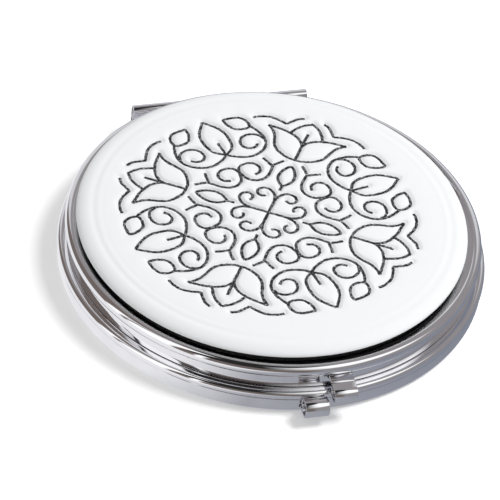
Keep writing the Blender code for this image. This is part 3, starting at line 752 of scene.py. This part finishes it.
def make_floor(name, finishes):
    """Plain pale studio floor, mirrored as a painted reflection: an unlit glow, greyer, paler on its
    left.
    """
    material, tree, shader, place = start_material(name, 0.7)
    shader.inputs["Specular IOR Level"].default_value = 0.0
    rays = tree.nodes.new("ShaderNodeLightPath").outputs
    # Reflected rays see no lit floor: its base colour turns black for them.
    two_tone(tree, shader, rays["Is Glossy Ray"], finishes.floor, BLACK)
    along = add_node(tree, "ShaderNodeMapRange", {
        "Value": add_node(tree, "ShaderNodeSeparateXYZ", {0: place}).outputs["X"],
        "From Min": -finishes.painted_reflection_reach, "From Max": finishes.painted_reflection_reach})
    # Painted reflection: for reflected rays the floor glows unlit, from pale on the left to dark on
    # the right.
    painted_reflection_tone = add_ramp(tree, along.outputs["Result"], (
        (0.07, tuple(finishes.painted_reflection_left)), (0.30, tuple(finishes.painted_reflection_middle)),
        (0.95, tuple(finishes.painted_reflection_right))))
    lift = add_node(tree, "ShaderNodeMath", {0: rays["Is Camera Ray"], 1: finishes.floor_lift},
                    operation='MULTIPLY')
    glow = add_node(tree, "ShaderNodeMix", {"Factor": rays["Is Glossy Ray"]}, data_type='RGBA')
    tree.links.new(lift.outputs[0], glow.inputs["A"])
    tree.links.new(painted_reflection_tone, glow.inputs["B"])
    tree.links.new(glow.outputs["Result"], shader.inputs["Emission Color"])
    shader.inputs["Emission Strength"].default_value = 1.0


MAKERS = {
    "plate": make_plate, "pin_steel": make_pin_steel, "leather": make_leather,
    "foil": make_foil, "board": make_board, "foam": make_foam, "tape": make_tape,
    "silvered_glass": make_glass, "floor": make_floor,
}


def base_profile(m, case):
    """Section of the lower pan, from its underside round the outside to its inside."""
    crease = m.rim_bead[1] - math.sqrt(case.rim_bead_section ** 2
                                       - (m.base_radius - m.rim_bead[0]) ** 2)
    inner = m.base_radius - case.sheet
    start = -angle_at(m.base_radius - case.rim_crease - m.rim_bead[0], case.rim_bead_section)
    profile = [(0, 0)]
    profile += arc((m.base_radius - case.foot_fillet, case.foot_fillet), case.foot_fillet,
                   -90, 0, FOOT_STEPS)
    profile += [(m.base_radius, crease - case.rim_crease)]
    profile += arc(m.rim_bead, case.rim_bead_section, start, 90, RIM_BEAD_STEPS)
    profile += rounded([
        (m.rim_bead[0], m.base_height, 0),
        (m.rim_mouth, m.base_height, case.edge),
        (m.rim_mouth, m.base_height - case.sheet, case.edge),
        (inner - case.rim_crease, m.base_height - case.sheet, case.edge),
        (inner - case.rim_crease, crease, 0),
        (inner, crease - case.rim_crease - case.sheet, 0),
        (inner, case.foot_fillet, 0),
        (m.base_radius - case.foot_fillet, case.sheet, case.sheet / 2),
        (0, case.sheet, 0)])[1:]
    return profile


def pocket_steps(m, case, hinge):
    """Boolean steps that stand the link's flat-backed pocket in the rim."""
    back = m.hinge_offset - hinge.barrel_radius - hinge.pocket_clearance
    shelf = m.lower_pin.z - hinge.barrel_radius - hinge.pocket_clearance
    round_radius = m.base_radius - case.sheet / 2
    swing = math.acos((back - hinge.pocket_wall) / round_radius)
    outline = []
    steps = case.steps // 6
    for i in range(steps + 1):
        turn = swing - 2 * swing * i / steps
        outline.append((round_radius * math.sin(turn), round_radius * math.cos(turn),
                        shelf - hinge.pocket_wall))
    rise = m.base_height - case.sheet / 2 - shelf + hinge.pocket_wall
    half = m.link_half + hinge.pocket_clearance
    leaf = m.lower_pin.z - hinge.barrel_radius
    slot = m.leaf_half + hinge.slot_clearance
    return [
        (grow(outline, (0, 0, rise)), 'UNION'),
        cut((-half, half), (back, m.hinge_offset + OVERRUN), (shelf, m.base_height + OVERRUN)),
        cut((-slot, slot), widened(m.leaf_seat, m.hinge_offset, OVERRUN),
            widened(leaf, leaf + m.leaf_sheet, hinge.slot_clearance)),
    ]


def base_tab_steps(m, hinge, catch):
    """Boolean steps that let the base's tab and its tongue through the wall and the rim."""
    span = widened(*m.base_tab, hinge.slot_clearance)
    tongue = m.ring_radius + catch.tongue_clearance + catch.sheet + hinge.slot_clearance
    rise = catch.base_rise
    return [
        cut(span, (-m.base_radius - OVERRUN, -m.ring_radius),
            widened(rise, rise + catch.sheet, hinge.slot_clearance)),
        cut(span, (-tongue, -m.ring_radius),
            (m.base_height - 2 * catch.sheet, m.base_height + OVERRUN)),
    ]


def lid_profile(m, case):
    """Section of the lid: seat of the pad, round bead, plain band, and its inside."""
    start = -angle_at(m.band_top_radius - m.lid_bead[0], case.lid_bead_section)
    end = angle_at(m.recess_radius - m.lid_bead[0], case.lid_bead_section)
    profile = [(0, m.pad_seat), (m.recess_radius, m.pad_seat)]
    profile += arc(m.lid_bead, case.lid_bead_section, end, start, LID_BEAD_STEPS)
    profile += rounded([
        (m.band_top_radius, m.band_top, 0),
        (m.band_radius, m.seam, case.edge),
        (m.band_radius - case.sheet, m.seam, case.edge),
        (m.band_top_radius - case.sheet, m.band_top, 0),
        (m.band_top_radius - case.sheet, m.roof, case.sheet / 2),
        (0, m.roof, 0)])
    return profile


def lid_steps(m, hinge, catch):
    """Boolean steps that let the lid's leaf and tab through its band."""
    top = m.upper_pin.z + hinge.barrel_radius
    half = m.leaf_half + hinge.slot_clearance
    rise = m.seam + catch.lid_rise
    return [
        cut((-half, half), widened(m.leaf_seat, m.hinge_offset, OVERRUN),
            widened(top - m.leaf_sheet, top, hinge.slot_clearance)),
        cut(widened(*m.lid_tab, hinge.slot_clearance),
            (-m.band_radius - OVERRUN, -m.skirt_radius),
            widened(rise - catch.sheet, rise, hinge.slot_clearance)),
    ]


def disc(radius, low, high, steps, top_bevel=0, low_bevel=0):
    """A flat round piece, with a bevel on one of its edges if it has one."""
    profile = [(0, low), (radius - low_bevel, low)]
    if low_bevel:
        profile.append((radius, low + low_bevel))
    profile.append((radius, high - top_bevel))
    if top_bevel:
        profile.append((radius - top_bevel, high))
    profile.append((0, high))
    return turned(profile, steps)


def glass_set(m, case, half, seat, way):
    """Foam bed, glass and retaining ring, stacked away from the seat of one half."""
    def span(start, depth):
        ends = (seat + way * start, seat + way * (start + depth))
        return min(ends), max(ends)

    reach = case.layer_gap
    add_piece(f"{half}_glass_bed", disc(m.mirror_radius - case.backing_setback,
              *span(reach, case.backing_thickness), case.steps), material_named("foam"), half,
              [f"{half}_mirror_backing"])
    reach += case.backing_thickness + case.layer_gap
    bevels = (case.mirror_bevel, 0) if way > 0 else (0, case.mirror_bevel)
    add_piece(f"{half}_glass", disc(m.mirror_radius, *span(reach, case.mirror_thickness),
              case.steps, *bevels), material_named("silvered_glass"), half,
              [f"{half}_mirror"])
    reach += case.mirror_thickness + case.layer_gap
    skirt = m.mirror_radius + case.mirror_play
    face = seat + way * (reach + case.ring_sheet)
    under = seat + way * reach
    foot = seat + way * case.layer_gap
    lip = m.mirror_radius - case.ring_lip
    edge = case.edge
    profile = rounded([
        (lip, under, edge), (lip, face, edge), (m.ring_radius, face, edge),
        (m.ring_radius, under, edge), (m.skirt_radius, under, 0), (m.skirt_radius, foot, edge),
        (skirt, foot, edge), (skirt, under, 0)])
    add_piece(f"{half}_retainer", turned(profile, case.steps, ring=True),
              material_named("plate"), half, [f"{half}_mirror_ring"])


def rolled(centre, radius, sheet, way, side, sweep):
    """Outer and inner line of a strip's rolled end, from its flat plate's point of view.

    The plate leaves the roll along Y, the way that way gives, and lies along the top of the roll
    where side is 1, or along its bottom where side is -1.
    """
    start = 90 * side
    end = start + way * side * sweep
    outer = arc(centre, radius, end, start, ROLL_STEPS)
    inner = arc(centre, radius - sheet, start, end, ROLL_STEPS)
    return outer, inner


def leaf(m, hinge, pin, side, flange_end, ears):
    """A hinge leaf: ears rolled round their pin, flat plate, and an upright inner flange."""
    face = pin.z + side * hinge.barrel_radius
    back = face - side * m.leaf_sheet
    outer, inner = rolled((pin.y, pin.z), hinge.barrel_radius, m.leaf_sheet, -1, side, EAR_SWEEP)
    flange = m.leaf_seat + m.leaf_sheet
    if (flange_end - face) * side > 0:
        plate = [(flange, face), (flange, flange_end), (m.leaf_seat, flange_end),
                 (m.leaf_seat, back)]
    else:
        plate = [(m.leaf_seat, face), (m.leaf_seat, flange_end), (flange, flange_end),
                 (flange, back)]
    edge = m.hinge_offset - hinge.barrel_radius - hinge.leaf_clearance
    end = m.leaf_half + OVERRUN
    trims = []
    start = -end
    for low, high in ears + [(end, end)]:
        trims.append(cut((start, low), (edge, m.hinge_offset + OVERRUN),
                         widened(pin.z, pin.z, OVERRUN)))
        start = high
    shape = carved(extruded(outer + plate + inner, -m.leaf_half, m.leaf_half), *trims)
    return soften(shape, hinge.edge)


def link(m, hinge):
    """The link: two barrels joined by a back wall, with windows for the ears and a bore each."""
    web_angle = angle_at(hinge.barrel_radius - hinge.web, hinge.barrel_radius)
    upper = arc((m.hinge_offset, m.upper_pin.z), hinge.barrel_radius, 0, 360 - web_angle,
                BARREL_STEPS)
    lower = arc((m.hinge_offset, m.lower_pin.z), hinge.barrel_radius, web_angle, 360,
                BARREL_STEPS)
    bar = soften(extruded(upper + lower, -m.link_half, m.link_half), hinge.edge)
    windows = [(span, (m.pin_middle, m.upper_pin.z + OVERRUN)) for span in m.lid_ears]
    windows += [(span, (m.lower_pin.z - OVERRUN, m.pin_middle)) for span in m.base_ears]
    across = widened(m.hinge_offset, m.hinge_offset, OVERRUN)
    cuts = [cut(widened(*span, hinge.ear_gap), across, heights) for span, heights in windows]
    for pin in (m.upper_pin, m.lower_pin):
        bore = rod(pin, hinge.pin_radius + hinge.pin_play, m.link_half + OVERRUN)
        cuts.append((bore, 'DIFFERENCE'))
    return carved(bar, *cuts)


def tab(centre, radius, sheet, side, plate, span, edge):
    """A thumb tab: rolled end, plate, and the upright end that is fixed inside its half."""
    outer, inner = rolled(centre, radius, sheet, 1, side, TAB_SWEEP)
    return soften(extruded(outer + plate + inner, *span), edge)


def smooth_line(points, spacing):
    """Points at about this spacing on a smooth curve through the given ones."""
    given = [Vector(point) for point in points]
    padded = [2 * given[0] - given[1]] + given + [2 * given[-1] - given[-2]]
    line = []
    for a, b, c, d in zip(padded, padded[1:], padded[2:], padded[3:]):
        steps = max(1, math.ceil((c - b).length / spacing))
        for i in range(steps):
            t = i / steps
            line.append(0.5 * (2 * b + (c - a) * t + (2 * a - 5 * b + 4 * c - d) * t * t
                               + (3 * b - a - 3 * c + d) * t ** 3))
    return line + [given[-1]]


def ornament_lines(pad_radius, pad):
    """Every line of the rosette, as points on the pad."""
    unit = pad_radius / DRAWING_UNITS
    spacing = pad.foil_width / unit
    lines = []
    for arm in range(4):
        turn = pad.arm_angle + arm * math.pi / 2
        up = Vector((math.cos(turn), math.sin(turn)))
        right = Vector((math.sin(turn), -math.cos(turn)))
        drawn = [(line, 1) for line in MIRRORED_LINES + SINGLE_LINES]
        drawn += [(line, -1) for line in MIRRORED_LINES]
        for line, way in drawn:
            lines.append([Vector(pad.centre) + unit * (way * x * right + y * up)
                          for x, y in smooth_line(line, spacing)])
    return lines


def eased(share):
    """A share between 0 and 1 that starts and ends gently."""
    share = np.clip(share, 0, 1)
    return share * share * (3 - 2 * share)


def points_of(mesh):
    """A mesh's points, as an array."""
    places = np.empty(len(mesh.vertices) * 3)
    mesh.vertices.foreach_get("co", places)
    return places.reshape(-1, 3)


def crown_height(m, pad, radius):
    """Height of the smooth crown at these distances from the pad's middle, as an array."""
    start = m.pad_radius - pad.shoulder
    fall = np.clip((radius - start) / pad.shoulder, 0, 1)
    rise = eased((radius - pad.field_radius) / (start - pad.field_radius))
    valley = np.exp(-((radius - pad.valley_radius) / pad.valley_reach) ** 2)
    return (m.pad_edge + pad.crown * np.sqrt(1 - fall * fall)
            + pad.dome * (1 - np.clip(radius / start, 0, 1) ** 2)
            - pad.field_sink * (1 - rise) - pad.valley_depth * valley)


def crown_line(m, pad, inset, drop, steps=8):
    """Section under the crown, inset from the leather's side and dropped from its top."""
    start = m.pad_radius - pad.shoulder
    points = []
    for i in range(steps + 1):
        turn = math.pi / 2 * i / steps
        points.append((start + (pad.shoulder - inset) * math.cos(turn),
                       m.pad_edge + (pad.crown - drop) * math.sin(turn)))
    return points + [(0, m.pad_edge + pad.crown - drop + pad.dome)]


def pressed_lines(lines):
    """A search tree over the ornament's lines."""
    points = [point for line in lines for point in line]
    tree = KDTree(len(points))
    for i, point in enumerate(points):
        tree.insert((point.x, point.y, 0), i)
    tree.balance()
    return tree


def press(m, pad, places, tree):
    """Height that the pressing adds at these places on the crown, as an array."""
    reach = np.array([tree.find((x, y, 0))[2] for x, y in places])
    wall = eased((reach - pad.groove_floor) / (pad.groove_mouth - pad.groove_floor))
    swell = 1 - np.exp(-np.maximum(reach - pad.groove_floor, 0) / pad.puff_reach)
    return pad.groove * (wall - 1) + pad.puff * swell


def leather_skin(m, pad):
    """Closed skin of the pad: pressed crown, round shoulder, drawn-in foot and a plain inside."""
    start = m.pad_radius - pad.shoulder
    radii = [start * i / pad.rings for i in range(pad.rings)]
    radii += [start + pad.shoulder * math.sin(math.pi / 2 * i / SHOULDER_STEPS)
              for i in range(SHOULDER_STEPS + 1)]
    heights = crown_height(m, pad, np.array(radii))
    profile = list(zip(radii, heights.tolist()))
    foot = m.pad_radius - pad.tuck
    profile += rounded([(m.pad_radius, m.pad_edge, 0), (foot, m.pad_foot, pad.side / 4),
                        (foot - pad.leather, m.pad_foot, 0)], 2)[1:]
    profile += crown_line(m, pad, pad.leather, pad.leather, 5)
    return turned(profile, pad.steps)


def emboss(m, pad, thing):
    """Press the ornament into the crown by moving its points down and up."""
    mesh = thing.data
    places = points_of(mesh)
    radius = np.hypot(places[:, 0], places[:, 1])
    floor = crown_height(m, pad, radius) - pad.leather / 4
    top = (radius < pad.valley_radius) & (places[:, 2] > floor)
    fade = np.clip((pad.valley_radius - radius[top]) / (pad.valley_radius - pad.field_radius), 0, 1)
    tree = pressed_lines(ornament_lines(m.pad_radius, pad))
    places[top, 2] += press(m, pad, places[top, :2], tree) * fade
    places[:, 0] += m.pad_shift.x
    mesh.vertices.foreach_set("co", places.ravel())
    mesh.update()


def foil_strokes(m, pad):
    """The foil in the pressed lines, as one mesh of low beads that follow the grooves' floor."""
    curve = bpy.data.curves.new("passing", 'CURVE')
    curve.dimensions = '3D'
    curve.bevel_depth = pad.foil_width
    curve.bevel_resolution = 1
    curve.use_fill_caps = True
    for line in ornament_lines(m.pad_radius, pad):
        radius = np.array([point.length for point in line])
        floor = crown_height(m, pad, radius) - pad.groove
        spline = curve.splines.new('POLY')
        spline.points.add(len(line) - 1)
        for point, place, height in zip(spline.points, line, floor):
            point.co = (place.x, place.y, height, 1)
    thing = bpy.data.objects.new("passing", curve)
    mesh = bpy.data.meshes.new_from_object(thing)
    bpy.data.curves.remove(curve)
    places = points_of(mesh)
    floor = crown_height(m, pad, np.hypot(places[:, 0], places[:, 1])) - pad.groove
    flat_share = pad.foil_height / pad.foil_width
    places[:, 2] = floor + (places[:, 2] - floor) * flat_share
    places[:, 2] += [pad.foil_ragged * wander(Vector(place) / pad.foil_width)
                     for place in places]
    places[:, 0] += m.pad_shift.x
    mesh.vertices.foreach_set("co", places.ravel())
    bm = bmesh.new()
    bm.from_mesh(mesh)
    bpy.data.meshes.remove(mesh)
    return bm


class MIRROR_OT_base_case(Operator):
    """Lower pan with its beaded rim, the hinge's pocket and the slots of leaf and tab"""
    bl_idname = "pocket_mirror.base_case"
    bl_label = "Base Case"

    def execute(self, context):
        m = measures()
        case = context.scene.mirror_case
        hinge = context.scene.mirror_hinge
        steps = pocket_steps(m, case, hinge) + base_tab_steps(m, hinge, context.scene.mirror_catch)
        shape = carved(turned(base_profile(m, case), case.steps), *steps)
        add_piece("base_case", shape, material_named("plate"), "base", ["base_shell"])
        return {'FINISHED'}


class MIRROR_OT_lid_case(Operator):
    """Lid with its round top bead and the recess that the pad lies in"""
    bl_idname = "pocket_mirror.lid_case"
    bl_label = "Lid Case"

    def execute(self, context):
        m = measures()
        case = context.scene.mirror_case
        steps = lid_steps(m, context.scene.mirror_hinge, context.scene.mirror_catch)
        shape = carved(turned(lid_profile(m, case), case.steps), *steps)
        add_piece("lid_case", shape, material_named("plate"), "lid", ["lid_shell"])
        return {'FINISHED'}


class MIRROR_OT_glasses(Operator):
    """Both glasses with their foam beds and retaining rings"""
    bl_idname = "pocket_mirror.glasses"
    bl_label = "Glasses"

    def execute(self, context):
        m = measures()
        case = context.scene.mirror_case
        glass_set(m, case, "base", case.sheet, 1)
        glass_set(m, case, "lid", m.roof, -1)
        return {'FINISHED'}


class MIRROR_OT_hinge(Operator):
    """Two leaves, the link between them and a pin in each of its barrels"""
    bl_idname = "pocket_mirror.hinge"
    bl_label = "Hinge"

    def execute(self, context):
        m = measures()
        hinge = context.scene.mirror_hinge
        case = context.scene.mirror_case
        plate = material_named("plate")
        add_piece("base_leaf", leaf(m, hinge, m.lower_pin, -1, case.sheet + case.layer_gap,
                                    m.base_ears), plate, "base", ["base_hinge_leaf"])
        add_piece("lid_leaf", leaf(m, hinge, m.upper_pin, 1, m.roof - case.layer_gap,
                                   m.lid_ears), plate, "lid", ["lid_hinge_leaf"])
        add_piece("link_barrels", link(m, hinge), plate, "link", ["hinge_link"])
        for name, pin in (("upper", m.upper_pin), ("lower", m.lower_pin)):
            wire = rod(pin, hinge.pin_radius, m.link_half - hinge.pin_sink)
            add_piece(f"{name}_pin", soften(wire, hinge.pin_dome, 3), material_named("pin_steel"),
                      "link", [f"hinge_pin_{name}"])
        return {'FINISHED'}


class MIRROR_OT_catch(Operator):
    """The two rolled thumb tabs"""
    bl_idname = "pocket_mirror.catch"
    bl_label = "Thumb Catch"

    def execute(self, context):
        m = measures()
        catch = context.scene.mirror_catch
        layer_gap = context.scene.mirror_case.layer_gap
        face = m.seam + catch.lid_rise
        seat = -m.skirt_radius - catch.lid_flange
        top = m.roof - layer_gap
        plate = [(seat - catch.sheet, face), (seat - catch.sheet, top), (seat, top),
                 (seat, face - catch.sheet)]
        centre = (-m.tab_reach - catch.lid_roll, face - catch.lid_roll)
        shape = tab(centre, catch.lid_roll, catch.sheet, 1, plate, m.lid_tab, catch.edge)
        add_piece("lid_thumb_tab", shape, material_named("plate"), "lid", ["lid_catch_tab"])
        face = catch.base_rise
        seat = -m.ring_radius - catch.tongue_clearance
        top = m.base_height + catch.tongue_rise
        plate = [(seat, face), (seat, top), (seat - catch.sheet, top),
                 (seat - catch.sheet, face + catch.sheet)]
        centre = (-m.tab_reach - catch.base_roll, face + catch.base_roll)
        shape = tab(centre, catch.base_roll, catch.sheet, -1, plate, m.base_tab, catch.edge)
        add_piece("base_thumb_tab", shape, material_named("plate"), "base", ["base_catch_tab"])
        return {'FINISHED'}


class MIRROR_OT_pad_core(Operator):
    """Adhesive sheet, board and shaped foam under the leather"""
    bl_idname = "pocket_mirror.pad_core"
    bl_label = "Pad Core"

    def execute(self, context):
        m = measures()
        pad = context.scene.mirror_pad
        case = context.scene.mirror_case
        radius = m.pad_radius - pad.board_setback
        tape_foot = m.pad_seat + case.layer_gap
        tape = disc(radius - pad.tape_setback, tape_foot, tape_foot + pad.tape, case.steps)
        board = disc(radius, m.board_foot, m.board_foot + pad.board, case.steps)
        inset = pad.leather + pad.foam_clearance
        foot = (m.pad_radius - inset - pad.tuck, m.pad_foot)
        foam = turned([(0, m.pad_foot), foot]
                      + crown_line(m, pad, inset, pad.leather + case.layer_gap), case.steps)
        for bm in (tape, board, foam):
            bmesh.ops.translate(bm, verts=bm.verts, vec=m.pad_shift)
        add_piece("adhesive_sheet", tape, material_named("tape"), "lid", ["pad_adhesive"])
        add_piece("backing_board", board, material_named("board"), "lid", ["pad_board"])
        core = add_piece("foam_core", foam, material_named("foam"), "lid", ["pad_foam"])
        return {'FINISHED'}


class MIRROR_OT_leather(Operator):
    """Leather skin with a soft rim and the pressed ornament"""
    bl_idname = "pocket_mirror.leather"
    bl_label = "Leather Skin"

    def execute(self, context):
        m = measures()
        pad = context.scene.mirror_pad
        skin = add_piece("leather_skin", leather_skin(m, pad), material_named("leather"), "lid",
                         ["leather_cover"])
        emboss(m, pad, skin)
        return {'FINISHED'}


class MIRROR_OT_ornament(Operator):
    """Dark foil in the pressed lines"""
    bl_idname = "pocket_mirror.ornament"
    bl_label = "Foil Ornament"

    def execute(self, context):
        shape = foil_strokes(measures(), context.scene.mirror_pad)
        add_piece("foil_ornament", shape, material_named("foil"), "lid")
        return {'FINISHED'}


class MIRROR_OT_stage(Operator):
    """Pale floor, soft studio light and the camera"""
    bl_idname = "pocket_mirror.stage"
    bl_label = "Stage"

    def execute(self, context):
        stage = context.scene.mirror_stage
        add_floor(stage)
        add_key(stage)
        add_world(stage)
        add_camera(stage)
        context.scene.view_settings.view_transform = 'Standard'
        return {'FINISHED'}


def add_floor(stage):
    bm = bmesh.new()
    bmesh.ops.create_grid(bm, x_segments=1, y_segments=1, size=stage.floor_size / 2)
    mesh = bpy.data.meshes.new("floor")
    bm.to_mesh(mesh)
    bm.free()
    mesh.materials.append(material_named("floor"))
    floor = bpy.data.objects.new("floor", mesh)
    bpy.context.scene.collection.objects.link(floor)


def towards(azimuth, elevation):
    """Unit vector at this angle from +X round Z, and this height above the floor."""
    return Vector((math.cos(azimuth) * math.cos(elevation),
                   math.sin(azimuth) * math.cos(elevation), math.sin(elevation)))


def add_key(stage):
    lamp = bpy.data.lights.new("key", 'AREA')
    lamp.shape = 'SQUARE'
    lamp.size = stage.key_size
    lamp.energy = stage.key_power
    key = bpy.data.objects.new("key", lamp)
    way = towards(stage.key_azimuth, stage.key_elevation)
    key.location = way * stage.key_distance
    key.rotation_euler = way.to_track_quat('Z', 'Y').to_euler()
    key.visible_glossy = False
    bpy.context.scene.collection.objects.link(key)


def add_ramp(tree, value, stops):
    """A colour ramp with these places and colours."""
    node = add_node(tree, "ShaderNodeValToRGB", {"Fac": value})
    elements = node.color_ramp.elements
    while len(elements) < len(stops):
        elements.new(0.5)
    for element, (place, tone) in zip(elements, stops):
        element.position = place
        element.color = (*tone, 1)
    return node.outputs["Color"]


def add_world(stage):
    """Even soft light, and the windows and dark cards of a studio for the plate to mirror."""
    world = bpy.data.worlds.new("studio")
    world.use_nodes = True
    tree = world.node_tree
    direction = tree.nodes.new("ShaderNodeTexCoord").outputs["Generated"]
    parts = add_node(tree, "ShaderNodeSeparateXYZ", {0: direction}).outputs
    turn = add_node(tree, "ShaderNodeMath", {0: parts["Y"], 1: parts["X"]}, operation='ARCTAN2')
    around = add_node(tree, "ShaderNodeMapRange", {
        "Value": turn.outputs[0], "From Min": -math.pi, "From Max": math.pi}).outputs["Result"]
    studio = add_ramp(tree, around, LOW_RING)
    for above, start, full in ((add_ramp(tree, around, HIGH_RING), HIGH_FROM, HIGH_FULL),
                               ((*BLACK, 1), CEILING_FROM, CEILING_FULL)):
        share = add_node(tree, "ShaderNodeMapRange", {
            "Value": parts["Z"], "From Min": start, "From Max": full}).outputs["Result"]
        studio = add_node(tree, "ShaderNodeMix", {"Factor": share, "A": studio, "B": above},
                          data_type='RGBA').outputs["Result"]
    bright = add_node(tree, "ShaderNodeVectorMath", {
        0: studio, "Scale": stage.studio_strength}, operation='SCALE')
    shown = add_node(tree, "ShaderNodeMix", {
        "Factor": tree.nodes.new("ShaderNodeLightPath").outputs["Is Glossy Ray"],
        "A": (*[stage.sky_strength] * 3, 1), "B": bright.outputs[0]}, data_type='RGBA')
    tree.links.new(shown.outputs["Result"], tree.nodes["Background"].inputs["Color"])
    bpy.context.scene.world = world


def add_camera(stage):
    """Camera at the picture's angle, turned so that the pad's centre falls on its place."""
    way = towards(stage.camera_azimuth - math.pi / 2, stage.camera_elevation)
    forward = -way
    right = towards(stage.camera_azimuth, 0)
    up = right.cross(forward)
    roll = Matrix.Rotation(-stage.camera_roll, 3, forward)
    right, up = roll @ right, roll @ up
    per_px = SENSOR / stage.lens / FRAME_PX
    aim = Vector(((PAD_CENTRE_PX[0] - FRAME_PX / 2) * per_px,
                  (FRAME_PX / 2 - PAD_CENTRE_PX[1]) * per_px, 1))
    swing = Vector((0, 0, 1)).rotation_difference(aim).to_matrix()
    axes = swing @ Matrix((right, up, forward))
    data = bpy.data.cameras.new("camera")
    data.sensor_width = SENSOR
    data.lens = stage.lens
    data.clip_start = stage.camera_distance / 10
    data.clip_end = stage.floor_size * 2
    camera = bpy.data.objects.new("camera", data)
    place = Vector((0, 0, stage.aim_height)) + way * stage.camera_distance
    turn = Matrix((axes[0], axes[1], -axes[2])).transposed()
    camera.matrix_world = Matrix.Translation(place) @ turn.to_4x4()
    bpy.context.scene.collection.objects.link(camera)
    bpy.context.scene.camera = camera


OPERATORS = (
    MIRROR_OT_stage, MIRROR_OT_base_case, MIRROR_OT_lid_case, MIRROR_OT_glasses,
    MIRROR_OT_hinge, MIRROR_OT_catch, MIRROR_OT_pad_core, MIRROR_OT_leather,
    MIRROR_OT_ornament,
)


class MIRROR_PT_panel(Panel):
    """Pieces of the pocket mirror and the sizes they are made to"""
    bl_idname = "MIRROR_PT_panel"
    bl_label = "Pocket Mirror"
    bl_space_type = 'VIEW_3D'
    bl_region_type = 'UI'
    bl_category = "Pocket Mirror"

    def draw(self, context):
        layout = self.layout
        for operator in OPERATORS:
            layout.operator(operator.bl_idname)
        for name in GROUPS:
            group = getattr(context.scene, name)
            column = layout.column(align=True)
            for field in group.__annotations__:
                column.prop(group, field)


GROUPS = {
    "mirror_case": CaseSizes, "mirror_hinge": HingeSizes, "mirror_catch": CatchSizes,
    "mirror_pad": PadSizes, "mirror_finishes": Finishes, "mirror_stage": StageSettings,
}


def register():
    for kind in (*GROUPS.values(), *OPERATORS, MIRROR_PT_panel):
        bpy.utils.register_class(kind)
    for name, kind in GROUPS.items():
        setattr(bpy.types.Scene, name, PointerProperty(type=kind))


def unregister():
    for name in GROUPS:
        delattr(bpy.types.Scene, name)
    for kind in reversed((*GROUPS.values(), *OPERATORS, MIRROR_PT_panel)):
        bpy.utils.unregister_class(kind)


def main():
    register()
    ops = bpy.ops.pocket_mirror
    ops.stage()
    ops.base_case()
    ops.lid_case()
    ops.glasses()
    ops.hinge()
    ops.catch()
    ops.pad_core()
    ops.leather()
    ops.ornament()


if __name__ == "__main__":
    main()
